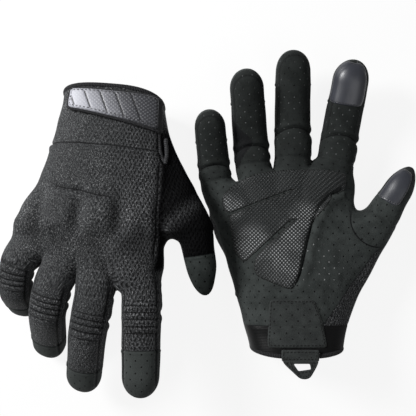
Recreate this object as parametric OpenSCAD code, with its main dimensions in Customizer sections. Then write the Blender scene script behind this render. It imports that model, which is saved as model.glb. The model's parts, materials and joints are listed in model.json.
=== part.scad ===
// A pair of full-finger riding gloves lying on a table, one palm down and one palm up.
// Each glove is drawn in a hand frame: fingers along +Y, thumb towards +X, palm facing +Z,
// with the middle of the cuff opening at its origin. It is then turned and laid on the table.
// The fabric hinges of the fingers lie on the palm side: the back opens there as a finger bends.

/* [Hand] */
// Width of each wrist opening as it lies: palm-down glove, palm-up glove
wrist_w = [75, 67]; // [60:1:80]
// Thickness of each wrist opening as it lies
wrist_t = [38, 46]; // [32:1:52]
// Thickness of the hand at the finger roots
knuckle_t = 27; // [24:0.5:32]
// How far the sides swell between the wrist and the finger roots
hand_fill = 3; // [0:0.5:5]
// How far the finger row lies towards the little finger from the middle of the wrist
knuckle_shift = 13; // [8:0.5:18]
// Thickness of the fabric and its lining
wall = 1.8; // [1.2:0.1:2.4]
// Clear space left along a seam
seam = 0.4; // [0.3:0.05:0.6]
// Slant of the webs between the fingers: palm side further out than the back
web_slope = 0.5; // [0.2:0.05:0.7]

/* [Fingers: index, middle, ring, little] */
// Length of each stall from its root to its tip
finger_len = [82, 87, 77, 59.5]; // [50:0.5:110]
// Length of each stall from its root to its middle joint
joint_len = [29, 33, 25, 21]; // [20:0.5:36]
// Width of each stall
finger_w = [28.5, 28, 27, 24.5]; // [20:0.5:30]
// Thickness of each stall
finger_t = [25, 25, 24, 21]; // [20:0.5:26]
// Distance of each root from the cuff edge
root_y = [132, 134, 130, 118]; // [115:1:150]
// Space between neighbouring stalls at their roots
finger_gap = 2.4; // [1.5:0.1:4]
// How much narrower a stall is near its tip, as a share of its width
finger_taper = 0.1; // [0:0.01:0.2]
// Number of pleats in a flex panel
pleats = 4; // [3:1:5]
// Length of one pleat
pleat_len = 4.2; // [3:0.1:5]
// Height of one pleat
pleat_h = 1.3; // [0.8:0.1:2]
// How far the flex panel stops short of the middle joint
flex_inset = 1; // [0.5:0.1:3]
// Thickness of the flex panel's fabric
flex_t = 0.9; // [0.6:0.1:1.4]

/* [Thumb] */
// Distance of the middle of the thumb opening from the cuff edge
thumb_y = 69; // [62:1:76]
// Length of the thumb opening along the side seam
thumb_open = 66; // [50:1:70]
// Depth of the thumb opening, as a share of half the hand's width
thumb_cut = 0.2; // [0.12:0.01:0.25]
// Length of the thumb from its opening to its joint
thumb_base_len = 41; // [32:1:46]
// How far the ball of the thumb swells on its outer side
thumb_fill = 5; // [0:0.5:8]
// Length of the thumb from its joint to its tip
thumb_tip_len = 44; // [36:1:54]
// Width of the thumb
thumb_w = 25.5; // [24:0.5:32]
// Thickness of the thumb
thumb_t = 25; // [20:0.5:28]
// Clear space between the thumb and the edge of its opening
thumb_seam = 1.2; // [0.8:0.1:2]

/* [Cuff and closure] */
// Length of the cuff on the back of the hand
cuff_back_len = 40; // [34:1:44]
// Length of the cuff on the palm
cuff_palm_len = 26; // [22:1:34]
// Half the width of the slit on the thumb side, as an angle round the cuff
slit_half = 7; // [4:1:12]
// Width of the binding along the cuff edge
binding_w = 2.4; // [1.6:0.1:3.5]
// How far the binding stands out from the cuff
binding_lip = 0.7; // [0.3:0.1:1.5]
// Height of the closure strap at its sewn end
strap_root_h = 27; // [22:1:32]
// Height of the closure strap at its free end
strap_end_h = 13.5; // [10:0.5:18]
// Distance of the strap's upper edge from the cuff edge
strap_y = 3; // [1:0.5:5]
// Reach of the strap on the thumb side, as a share of half the wrist's width
strap_root_f = 0.93; // [0.85:0.01:0.95]
// Reach of the strap on the little finger's side, as a share of half the wrist's width
strap_end_f = 0.75; // [0.7:0.01:0.92]
// Thickness of the hook tape and of the loop tape
tape_t = 1; // [0.6:0.1:1.6]
// Thickness of the strap's fabric
strap_t = 1.2; // [0.8:0.1:2]
// How much shorter the tapes are than the strap at its sewn end
tape_short = 11; // [8:1:16]
// How far the loop tape stops short of the strap's long edges
tape_margin = 3; // [2:0.1:4]
// How far the hook tape stops short of the loop tape's ends
hook_inset = 2; // [1:0.1:3]
// Thickness of the moulded grip on the strap
grip_t = 1.6; // [1:0.1:2.5]
// How far the moulded grip stops short of the strap's ends
grip_inset = 3; // [2:0.5:5]
// Width of the strap's stitched rim beside the moulded grip
grip_rim = 1.5; // [1:0.1:3]
// Number of moulded bars on the strap's grip
grip_bars = 6; // [4:1:8]
// Width of the groove between two moulded bars
grip_groove = 1; // [0.6:0.1:2]
// Length of the pull loop beyond the cuff edge
loop_len = 13; // [12:0.5:24]
// Width of the pull loop at the cuff
loop_w = 27; // [20:0.5:32]
// Width of the pull loop's band
loop_band = 6; // [5:0.5:8]
// Thickness of the pull loop's band
loop_t = 1.5; // [1:0.1:2.5]

/* [Guard and patches] */
// Height of the knuckle guard under the back panel
guard_h = 5; // [3:0.5:7]
// Thickness of the palm patches
patch_t = 1.4; // [1:0.1:2]
// Thickness of the fingertip patches
touch_t = 0.9; // [0.6:0.1:1.4]
// Length of the index fingertip patch
index_touch_len = 31; // [24:1:38]
// Length of the thumb tip patch
thumb_touch_len = 33; // [24:1:38]
// Width of the heel patch at its upper end
heel_top_w = 32; // [24:1:38]
// Width of the heel patch at the cuff
heel_low_w = 45; // [36:1:48]
// Distance of the heel patch from the cuff edge
heel_from = 4; // [3:0.5:8]
// Length of the heel patch
heel_len = 35; // [28:1:40]
// Place of the heel patch's middle, towards the thumb
heel_x = -3.5; // [-6:0.5:4]

/* [Pose: glove with its palm down, glove with its palm up] */
// Place of each cuff opening's middle across the table
lay_x = [-72.4, 62.6]; // [-90:0.1:90]
// Place of each cuff opening's middle along the table
lay_y = [92.4, -96]; // [-120:0.1:120]
// Height of each cuff opening's middle above the table
lay_z = [22.6, 29]; // [20:0.1:40]
// Turn of each glove on the table
lay_turn = [-3, 0]; // [-15:0.1:15]
// Tilt of each glove along its length
lay_tilt = [-12.4, -5.2]; // [-15:0.1:15]
// Roll of each glove about its length
lay_roll = [-2, 0]; // [-15:0.1:15]
// Spread of the fingers of the palm-down glove: index, middle, ring, little
spread_down = [2.5, -10, -14.5, -10.5]; // [-18:0.5:12]
// Spread of the fingers of the palm-up glove: index, middle, ring, little
spread_up = [8, -1.5, -6, -6.5]; // [-18:0.5:12]
// Bend at the knuckles of the palm-down glove
knuckle_down = [3, 17, 28, 34]; // [0:1:45]
// Bend at the knuckles of the palm-up glove
knuckle_up = [6, 5, 7, 8]; // [0:1:45]
// Bend at the middle joints of the palm-down glove
middle_down = [6, 26, 33, 42]; // [0:1:60]
// Bend at the middle joints of the palm-up glove
middle_up = [20, 18, 24, 24]; // [0:1:60]
// Direction of each thumb's lower part, away from the fingers: palm-down glove, palm-up glove
thumb_out = [46, 45]; // [36:1:56]
// Direction of each thumb's tip, away from the fingers
thumb_aim = [12, 31]; // [8:1:36]
// Bend of each thumb
thumb_bend = [14, 10]; // [0:1:40]
// Fold of each pull loop back over the palm: palm-down glove, palm-up glove
loop_fold = [165, 0]; // [0:1:168]

/* [Hidden] */
GLOVES = ["palm_down_", "palm_up_"];
FINGERS = ["index", "middle", "ring", "little"];
HAND_NODES = ["cuff", "cuff_binding", "loop_tape", "back_panel", "palm_panel", "knuckle_guard",
    "upper_grip_patch", "middle_grip_patch", "lower_grip_patch", "heel_patch", "thumb_base"];
MOVING_NODES = ["closure_strap", "hook_tape", "strap_grip", "pull_loop",
    "thumb_tip", "thumb_touch_patch", "index_touch_patch"];
FINGER_NODES = ["_base", "_flex_panel", "_tip"];

spread = [spread_down, spread_up];
knuckle_bend = [knuckle_down, knuckle_up];
middle_bend = [middle_down, middle_up];
palm_down_flip = [180, 0];

knit_colour = "#3a3c3e";
suede_colour = "#2c2f2e";
band_colour = "#1e2021";
rubber_colour = "#5c5f66";
patch_colour = "#3b4144";
touch_colour = "#34353d";

// Squareness of the hand's and the fingers' rounded sections
hand_square = 2.6;
finger_square = 2.4;
// How late the hand widens towards its finger roots, as a power of the distance
hand_flare = 1.2;
// Sides of a finger's section, and of the cuff
finger_sides = 16;
cuff_sides = 40;
// Steps along a hand panel, and across each finger's ray of it
hand_steps = 12;
ray_steps = 4;
// First and last step of the knuckle guard
guard_from = 4;
guard_to = 8;
// Share of the knuckle guard's height that runs across between its domes
guard_base = 0.4;
// Length of a stall's rounded end, as a share of its width
tip_roundness = 0.55;
// Angle round a stall at which its flex panel starts
flex_from_angle = 222;
// Slant of the moulded bars, as a share of half the wrist's width
grip_slant = -0.1;
// Clear space over curved faces that are covered by a patch
lift = 0.35;

hand_len = max(root_y);
// Distance from the cuff edge at which the hand reaches its knuckle thickness, short of every finger root
full_y = min(root_y) - web_slope * knuckle_t / 2 - finger_gap;
row_w = finger_w[0] + finger_w[1] + finger_w[2] + finger_w[3] + 3 * finger_gap;
cuff_mid_len = (cuff_back_len + cuff_palm_len) / 2;

function total(list, count, k = 0) = k >= count ? 0 : list[k] + total(list, count, k + 1);
function mix(a, b, s) = a + (b - a) * s;
function clamp01(s) = max(0, min(1, s));
function powered(s, p) = sign(s) * pow(abs(s), p);
function unit(v) = v / norm(v);

// Middle of each finger root across the hand
root_x = [for (i = [0:3]) row_w / 2 - knuckle_shift - total(finger_w, i) - i * finger_gap - finger_w[i] / 2];

// The hand's section at a distance y from the cuff edge: middle, half width and half thickness
function grown(y) = min(1, y / full_y);
function widened(y) = pow(clamp01(y / min(root_y)), hand_flare);
function hand_mid(y) = -knuckle_shift * widened(y);
function hand_half_w(g, y) = mix(wrist_w[g], row_w, widened(y)) / 2;
function hand_half_t(g, y) = mix(wrist_t[g], knuckle_t, sin(90 * grown(y))) / 2
    + hand_fill * pow(sin(180 * max(0, grown(y))), 2);
function arch(f) = pow(max(0, 1 - pow(abs(f), hand_square)), 1 / hand_square);

// A point on the hand's surface, from its share f of the half width; side is 1 on the palm and -1 on the back
function hand_skin(g, f, y, side, off) = [
    hand_mid(y) + (hand_half_w(g, y) + off) * f, y, side * (hand_half_t(g, y) + off) * arch(f)];

// The same point, from its place x across the hand
function over_hand(g, x, y, side, off) = hand_skin(g, (x - hand_mid(y)) / hand_half_w(g, y), y, side, off);

// A point round the cuff, from an angle that starts at the thumb's side
function cuff_skin(g, angle, y, off) = [
    hand_mid(y) + (hand_half_w(g, y) + off) * powered(cos(angle), 2 / hand_square), y,
    (hand_half_t(g, y) + off) * powered(sin(angle), 2 / hand_square)];

// Length of the cuff at a height t, as a share of half its thickness: 1 on the palm, -1 on the back
function cuff_end(t) = mix(cuff_mid_len, t > 0 ? cuff_palm_len : cuff_back_len, abs(t));

// Edge of the panels at the thumb opening, as a share of the half width
function thumb_edge(y) = 1 - thumb_cut * sqrt(max(0, 1 - pow((y - thumb_y) / (thumb_open / 2), 2)));

// Share of the half width of step k across the ray of finger i
function ray_share(i, k) = (root_x[i] + finger_w[i] * (k / ray_steps - 0.5) + knuckle_shift) / (row_w / 2);
function ray_at(i, k, y) = let (f = ray_share(i, k), inner = ray_share(0, 0))
    i > 0 ? f : mix(inner, thumb_edge(y), (f - inner) / (1 - inner));

// Swelling of the back over the knuckle guard: one dome for each finger
function step_y(j) = mix(cuff_back_len, hand_len, j / hand_steps);
function guard_swell(k, y) = let (
        start = step_y(guard_from - 1),
        end = step_y(guard_to + 1),
        rise = clamp01((y - start) / (step_y(guard_from) - start)),
        fall = clamp01((end - y) / (end - step_y(guard_to))),
        along = sin(180 * clamp01((y - start) / (end - start))))
    guard_h * rise * fall * mix(guard_base, 1, along * sin(180 * k / ray_steps));

// A point of a hand panel: step j along the hand, step k of finger i's ray across it
function panel_point(g, i, k, j, side, off, swell = true) = let (
        f_rim = ray_share(i, k),
        x_rim = (row_w / 2 + off) * f_rim - knuckle_shift,
        z_rim = side * ((knuckle_t / 2 + off) * arch(f_rim) + seam / 4),
        y_rim = root_y[i] - tan(spread[g][i]) * (x_rim - root_x[i]) + web_slope * z_rim - seam,
        f_start = ray_at(i, k, cuff_end(side * arch(f_rim))),
        y_start = cuff_end(side * arch(f_start)) + 1.5 * seam,
        y = mix(y_start, y_rim, j / hand_steps),
        f = ray_at(i, k, y),
        raised = side < 0 && swell ? guard_swell(k, step_y(j)) : 0,
        p = hand_skin(g, f, y, side, off))
    p + [0, 0, side * (raised * arch(f) + seam / 4)];

// Rings of a stall's section: width, thickness, distance along it and offset from its surface
function stall_ring(w, t, y, off, from = 0, to = 360, count = finger_sides) = [
    for (k = [0:count - 1]) let (angle = from + (to - from) * k / (to - from >= 360 ? count : count - 1))
        [(w / 2 + off) * powered(cos(angle), 2 / finger_square), y,
         (t / 2 + off) * powered(sin(angle), 2 / finger_square)]];

// Share of its full section that a stall of length len keeps at distance y from the joint
function tip_share(y, len, round_len) = (1 - finger_taper * clamp01(y / len))
    * (y <= len - round_len ? 1 : sqrt(max(0, 1 - pow((y - len + round_len) / round_len, 2))));
tip_steps = [0, 0.3, 0.55, 0.72, 0.84, 0.92, 0.97];
function tip_round(w) = w * tip_roundness;
function tip_rings(w, t, len, off) = [for (s = tip_steps) let (
        y = s * (len + off),
        share = tip_share(y, len + off, tip_round(w)))
    stall_ring(w * share, t * share, y, off * sqrt(share))];

// Faces of solids made from grids of points, as triangles
function quad(a, b, c, d) = [[a, b, c], [a, c, d]];
function flat(grid) = [for (row = grid) each row];

// A plate between two grids of points with the same rows and columns
module plate(top, bottom) {
    rows = len(top);
    cols = len(top[0]);
    under = rows * cols;
    polyhedron(concat(flat(top), flat(bottom)), [
        for (r = [0:rows - 2], c = [0:cols - 2]) let (a = r * cols + c, b = a + cols)
            each concat(quad(a, b, b + 1, a + 1), quad(under + a, under + a + 1, under + b + 1, under + b)),
        for (r = [0:rows - 2]) let (a = r * cols, b = a + cols, e = cols - 1)
            each concat(quad(a, under + a, under + b, b), quad(a + e, b + e, under + b + e, under + a + e)),
        for (c = [0:cols - 2]) let (a = c, b = (rows - 1) * cols + c)
            each concat(quad(a, a + 1, under + a + 1, under + a), quad(b, under + b, under + b + 1, b + 1))]);
}

// A tube between an outer and an inner stack of rings, open at both ends or closed by a tip
module tube(outer, inner, tips = []) {
    rows = len(outer);
    cols = len(outer[0]);
    under = rows * cols;
    last = (rows - 1) * cols;
    tip = 2 * under;
    polyhedron(concat(flat(outer), flat(inner), tips), [
        for (r = [0:rows - 2], c = [0:cols - 1]) let (
                a = r * cols + c,
                n = r * cols + (c + 1) % cols)
            each concat(quad(a, n, n + cols, a + cols),
                quad(under + a, under + a + cols, under + n + cols, under + n)),
        for (c = [0:cols - 1]) let (n = (c + 1) % cols) each quad(c, under + c, under + n, n),
        for (c = [0:cols - 1]) let (n = (c + 1) % cols, a = last + c, b = last + n)
            each len(tips) == 0 ? quad(a, b, under + b, under + a)
                : [[a, b, tip], [under + b, under + a, tip + 1]]]);
}

// A line of points with one more point in the middle of each stretch
function halved(line) = [for (c = [0:2 * len(line) - 2]) mix(line[floor(c / 2)], line[ceil(c / 2)], 0.5)];

// A plate that covers a stretch of the palm between two edge lines of points
module palm_patch(g, low, high, rows = 4) {
    near = halved(low);
    far = halved(high);
    function sheet(off) = [for (r = [0:rows]) [for (c = [0:len(near) - 1])
        let (p = mix(near[c], far[c], r / rows)) over_hand(g, p[0], p[1], 1, off)]];
    plate(sheet(lift + seam / 4 + patch_t), sheet(lift + seam / 4));
}

// A glove's place on the table
module lay(g) {
    translate([lay_x[g], lay_y[g], lay_z[g]])
        rotate([0, 0, lay_turn[g]]) rotate([lay_tilt[g], 0, 0]) rotate([0, lay_roll[g], 0])
            rotate([palm_down_flip[g], 0, 0]) children();
}

// A turn about a line across the finger at height z, towards the palm
module bend(angle, y, z) {
    translate([0, y, z]) rotate([angle, 0, 0]) translate([0, -y, -z]) children();
}

module at_root(g, i) {
    translate([root_x[i], root_y[i], 0]) rotate([0, 0, -spread[g][i]])
        bend(knuckle_bend[g][i], web_slope * finger_t[i] / 2, finger_t[i] / 2) children();
}

module at_joint(g, i) {
    at_root(g, i) translate([0, joint_len[i], 0])
        bend(middle_bend[g][i], 0, finger_t[i] / 2) children();
}

// Middle of the thumb's joint and of its opening
function thumb_middle(g) = [hand_mid(thumb_y) + hand_half_w(g, thumb_y) * (1 - thumb_cut / 2), thumb_y, 0];
function thumb_joint(g) = thumb_middle(g) + thumb_base_len * [sin(thumb_out[g]), cos(thumb_out[g]), 0];

module at_thumb(g) {
    translate(thumb_joint(g)) rotate([0, 0, -thumb_aim[g]])
        bend(thumb_bend[g], 0, thumb_t / 2) children();
}

// The cuff and what is sewn to it
module cuff(g) {
    function sheet(off) = [for (s = [0, 0.5, 1]) [for (k = [0:cuff_sides]) let (
            angle = mix(slit_half, 360 - slit_half, k / cuff_sides),
            y = s * cuff_end(powered(sin(angle), 2 / hand_square)))
        cuff_skin(g, angle, y, off)]];
    color(knit_colour) plate(sheet(-wall), sheet(0));
}

module cuff_binding(g) {
    edge = -seam / 2;
    function sheet(off) = [for (y = [edge - binding_w, edge]) [for (k = [0:cuff_sides])
        cuff_skin(g, mix(slit_half, 360 - slit_half, k / cuff_sides), y, off)]];
    color(band_colour) plate(sheet(-wall - binding_lip), sheet(binding_lip));
}

// Heights of the closure's layers above the cuff
loop_off = lift;
hook_off = loop_off + tape_t + seam;
strap_off = hook_off + tape_t + seam / 2;
grip_off = strap_off + strap_t + 0.75 * seam;

// Lower edge of the strap at a share f of the half width
function strap_low(f) = strap_y + mix(strap_end_h, strap_root_h,
    (f + strap_end_f) / (strap_root_f + strap_end_f));

// A layer of the closure between two shares of the half width, drawn in by margin at both edges
// All layers bend at the same shares, so that they lie parallel
module closure_layer(g, from, to, margin, off, thick, slant = 0) {
    step = 0.12;
    rows = 3;
    shares = concat([from], [for (f = [-1:step:1]) if (f > from + step / 8 && f < to - step / 8) f], [to]);
    function sheet(o) = [for (r = [0:rows]) [for (share = shares) let (
            f = share - slant * (r / rows - 0.5),
            y = mix(strap_y + margin, strap_low(f) - margin, r / rows))
        hand_skin(g, f, y, -1, o)]];
    plate(sheet(off), sheet(off + thick));
}

// A length across the wrist as a share of half its width
function wrist_share(g, length) = length / (wrist_w[g] / 2);

module loop_tape(g) {
    to = strap_root_f - wrist_share(g, tape_short);
    color(band_colour) closure_layer(g, -strap_end_f, to, tape_margin, loop_off, tape_t);
}

module closure_strap(g) {
    color(band_colour) closure_layer(g, -strap_end_f, strap_root_f, 0, strap_off, strap_t);
}

module hook_tape(g) {
    from = wrist_share(g, hook_inset) - strap_end_f;
    to = strap_root_f - wrist_share(g, tape_short + hook_inset);
    color(band_colour) closure_layer(g, from, to, tape_margin, hook_off, tape_t);
}

module strap_grip(g) {
    from = wrist_share(g, grip_inset) - strap_end_f;
    to = strap_root_f - wrist_share(g, grip_inset);
    pitch = (to - from) / grip_bars;
    bar_w = pitch - wrist_share(g, grip_groove);
    color(rubber_colour) for (bar = [0:grip_bars - 1]) let (start = from + bar * pitch)
        closure_layer(g, start, start + bar_w, grip_rim, grip_off, grip_t, grip_slant);
}

module pull_loop(g) {
    root = loop_t / 2;
    base_y = -binding_w - seam;
    over = hand_half_t(g, 0) + binding_lip + lift;
    hole_half = loop_w / 2 - loop_band;
    color(suede_colour) lay(g) bend(-loop_fold[g], base_y, over + loop_t / 2)
        translate([0, base_y, over]) linear_extrude(loop_t) difference() {
            polygon([[-loop_w / 2, 0], [loop_w / 2, 0],
                [loop_band / 2, -loop_len], [-loop_band / 2, -loop_len]]);
            polygon([[-hole_half, -root], [hole_half, -root],
                [hole_half / 2, loop_band - loop_len], [-hole_half / 2, loop_band - loop_len]]);
        }
}

// The two main panels of the hand, cut along the rays of the fingers
function rays() = [for (i = [3:-1:0], k = [0:ray_steps]) [i, k]];
function panel_sheet(g, side, off) = [for (j = [0:hand_steps]) [for (ray = rays())
    panel_point(g, ray[0], ray[1], j, side, off)]];

module back_panel(g) {
    color(knit_colour) plate(panel_sheet(g, -1, -wall), panel_sheet(g, -1, 0));
}

module palm_panel(g) {
    color(suede_colour) plate(panel_sheet(g, 1, 0), panel_sheet(g, 1, -wall));
}

module knuckle_guard(g) {
    covered = [for (n = [1:len(rays()) - 2]) rays()[n]];
    function sheet(off, swell) = [for (j = [guard_from:guard_to]) [for (ray = covered)
        panel_point(g, ray[0], ray[1], j, -1, off, swell)]];
    color(band_colour) plate(sheet(-wall, false), sheet(-wall - seam, true));
}

// Two facing edges of each grip patch; the lower patch's edges run along the hand, the others' across it
// Each point is a share of half the hand's width there, and a share of the hand's length
upper_low = [[-0.76, 0.8], [-0.59, 0.785], [-0.36, 0.82], [-0.15, 0.855],
    [0.24, 0.92], [0.56, 0.905], [0.89, 0.895]];
upper_high = [[-0.7, 0.865], [-0.52, 0.925], [-0.33, 0.97], [-0.14, 0.99],
    [0.24, 1], [0.56, 1], [0.85, 0.98]];
middle_low = [[-0.7, 0.505], [-0.54, 0.55], [-0.37, 0.59], [-0.07, 0.67],
    [0.16, 0.74], [0.33, 0.76], [0.48, 0.76]];
middle_high = [[-0.67, 0.74], [-0.53, 0.765], [-0.35, 0.795], [-0.04, 0.845],
    [0.23, 0.89], [0.45, 0.885], [0.64, 0.86]];
lower_low = [[0, 0.345], [0.18, 0.405], [0.31, 0.525], [0.39, 0.62], [0.46, 0.735]];
lower_high = [[-0.58, 0.41], [-0.52, 0.465], [-0.34, 0.53], [-0.07, 0.62], [0.15, 0.705]];

module grip_patch(g, low, high) {
    function on_palm(line) = [for (share = line) let (y = share[1] * hand_len)
        [hand_mid(y) + hand_half_w(g, y) * share[0], y]];
    color(patch_colour) palm_patch(g, on_palm(low), on_palm(high));
}

module heel_patch(g) {
    count = 6;
    low = [for (c = [0:count]) [heel_x + mix(-heel_low_w, heel_low_w, c / count) / 2, heel_from]];
    high = [for (c = [0:count]) [heel_x + mix(-heel_top_w, heel_top_w, c / count) / 2, heel_from + heel_len]];
    color(suede_colour) palm_patch(g, low, high);
}

// The thumb: a cone from the side opening to the joint, then its tip
function thumb_root_point(g, angle, inset) = let (
        y = thumb_y + thumb_open / 2 * cos(angle),
        p = hand_skin(g, thumb_edge(y), y, sin(angle) >= 0 ? 1 : -1, 0))
    p + unit(thumb_middle(g) - p) * inset;

module thumb_base(g) {
    steps = 5;
    across = [cos(thumb_aim[g]), -sin(thumb_aim[g]), 0];
    function ring(s, inset) = [for (k = [0:finger_sides - 1]) let (
            angle = 360 * k / finger_sides,
            far = thumb_joint(g) - [sin(thumb_aim[g]), cos(thumb_aim[g]), 0] * seam
                - across * (thumb_w / 2 - inset) * powered(cos(angle), 2 / finger_square)
                + [0, 0, 1] * (thumb_t / 2 - inset) * powered(sin(angle), 2 / finger_square))
        mix(thumb_root_point(g, angle, inset + thumb_seam), far, s)
            + across * thumb_fill * sin(180 * s) * (1 - cos(angle)) / 2];
    function rings(inset) = [for (r = [0:steps]) ring(r / steps, inset)];
    color(knit_colour) tube(rings(0), rings(wall));
}

function tip_len(i) = finger_len[i] - joint_len[i];

module stall_tip(w, t, len) {
    color(suede_colour) tube(tip_rings(w, t, len, 0), tip_rings(w, t, len, -wall),
        [[0, len, 0], [0, len - wall, 0]]);
}

// A patch over the last patch_len of a tip's palm side; its rows lie on the stall's rings
module touch_patch(w, t, len, patch_len) {
    side = 360 / finger_sides;
    count = finger_sides / 2 - 1;
    start = len - patch_len;
    rows = concat([start], [for (s = tip_steps) if (s * len > start + touch_t) s * len]);
    function sheet(off) = [for (y = rows) let (share = tip_share(y, len, tip_round(w)))
        stall_ring(w * share, t * share, y, off, side, 180 - side, count)];
    color(touch_colour) plate(sheet(seam / 2), sheet(seam / 2 + touch_t));
}

module finger_base(g, i) {
    w = finger_w[i];
    t = finger_t[i];
    len = joint_len[i] - seam;
    function rings(off) = [for (s = [0, 0.4, 0.75, 1]) [for (p = stall_ring(w, t, s * len, off))
        p + [0, web_slope * p[2] * pow(1 - s, 2), 0]]];
    color(knit_colour) tube(rings(0), rings(-wall));
}

module flex_panel(i) {
    count = 6;
    rows = 2 * pleats;
    from = joint_len[i] - flex_inset - pleats * pleat_len;
    function sheet(off, rib) = [for (r = [0:rows])
        stall_ring(finger_w[i], finger_t[i], from + r * pleat_len / 2,
            off + (r % 2) * rib, flex_from_angle, 540 - flex_from_angle, count)];
    color(knit_colour) plate(sheet(seam / 2, 0), sheet(seam / 2 + flex_t, pleat_h));
}

// Hinge lines on the table, for every moving piece: name, a point and a direction
function turn_x(a) = [[1, 0, 0], [0, cos(a), -sin(a)], [0, sin(a), cos(a)]];
function turn_y(a) = [[cos(a), 0, sin(a)], [0, 1, 0], [-sin(a), 0, cos(a)]];
function turn_z(a) = [[cos(a), -sin(a), 0], [sin(a), cos(a), 0], [0, 0, 1]];
function lay_turns(g) =
    turn_z(lay_turn[g]) * turn_x(lay_tilt[g]) * turn_y(lay_roll[g]) * turn_x(palm_down_flip[g]);
function laid(g, p) = [lay_x[g], lay_y[g], lay_z[g]] + lay_turns(g) * p;
function finger_turn(g, i) = turn_z(-spread[g][i]);
function knuckle_line(g, i) = [root_x[i], root_y[i], 0]
    + finger_turn(g, i) * [0, web_slope * finger_t[i] / 2, finger_t[i] / 2];
function middle_line(g, i) = knuckle_line(g, i)
    + finger_turn(g, i) * turn_x(knuckle_bend[g][i]) * [0, joint_len[i] - web_slope * finger_t[i] / 2, 0];
function strap_line(g) = hand_skin(g, strap_root_f, strap_y, -1, strap_off + strap_t);
function loop_line(g) = [0, -binding_w - seam, hand_half_t(g, 0) + binding_lip + lift + loop_t / 2];
hinges = [for (g = [0:1]) each concat(
    [for (i = [0:3]) [str(GLOVES[g], FINGERS[i], "_knuckle"), laid(g, knuckle_line(g, i)),
        lay_turns(g) * finger_turn(g, i) * [1, 0, 0]]],
    [for (i = [0:3]) [str(GLOVES[g], FINGERS[i], "_middle"), laid(g, middle_line(g, i)),
        lay_turns(g) * finger_turn(g, i) * [1, 0, 0]]],
    [[str(GLOVES[g], "thumb"), laid(g, thumb_joint(g) + [0, 0, thumb_t / 2]),
        lay_turns(g) * turn_z(-thumb_aim[g]) * [1, 0, 0]],
     [str(GLOVES[g], "strap"), laid(g, strap_line(g)), lay_turns(g) * [0, -1, 0]],
     [str(GLOVES[g], "loop"), laid(g, loop_line(g)), lay_turns(g) * [-1, 0, 0]]])];
for (hinge = hinges) echo(hinge = hinge);

for (g = [0:1]) {
    glove = GLOVES[g];
    lay(g) cuff(g);
    lay(g) cuff_binding(g);
    lay(g) loop_tape(g);
    lay(g) closure_strap(g);
    lay(g) hook_tape(g);
    lay(g) strap_grip(g);
    pull_loop(g);
    lay(g) back_panel(g);
    lay(g) palm_panel(g);
    lay(g) knuckle_guard(g);
    lay(g) grip_patch(g, upper_low, upper_high);
    lay(g) grip_patch(g, middle_low, middle_high);
    lay(g) grip_patch(g, lower_low, lower_high);
    lay(g) heel_patch(g);
    lay(g) thumb_base(g);
    lay(g) at_thumb(g) stall_tip(thumb_w, thumb_t, thumb_tip_len);
    lay(g) at_thumb(g) touch_patch(thumb_w, thumb_t, thumb_tip_len, thumb_touch_len);
    lay(g) at_joint(g, 0) touch_patch(finger_w[0], finger_t[0], tip_len(0), index_touch_len);
    for (i = [0:3]) {
        finger = str(glove, FINGERS[i]);
        lay(g) at_root(g, i) finger_base(g, i);
        lay(g) at_root(g, i) flex_panel(i);
        lay(g) at_joint(g, i) stall_tip(finger_w[i], finger_t[i], tip_len(i));
    }
}
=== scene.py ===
"""A pair of riding gloves, one palm down and one palm up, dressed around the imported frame.

Each glove is shaped in its own hand frame, in millimetres: fingers along +Y, thumb towards +X, palm facing
+Z, with the middle of the cuff opening at the origin. Bones, widths and lengths come from the frame.
"""
import json
import math

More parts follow.
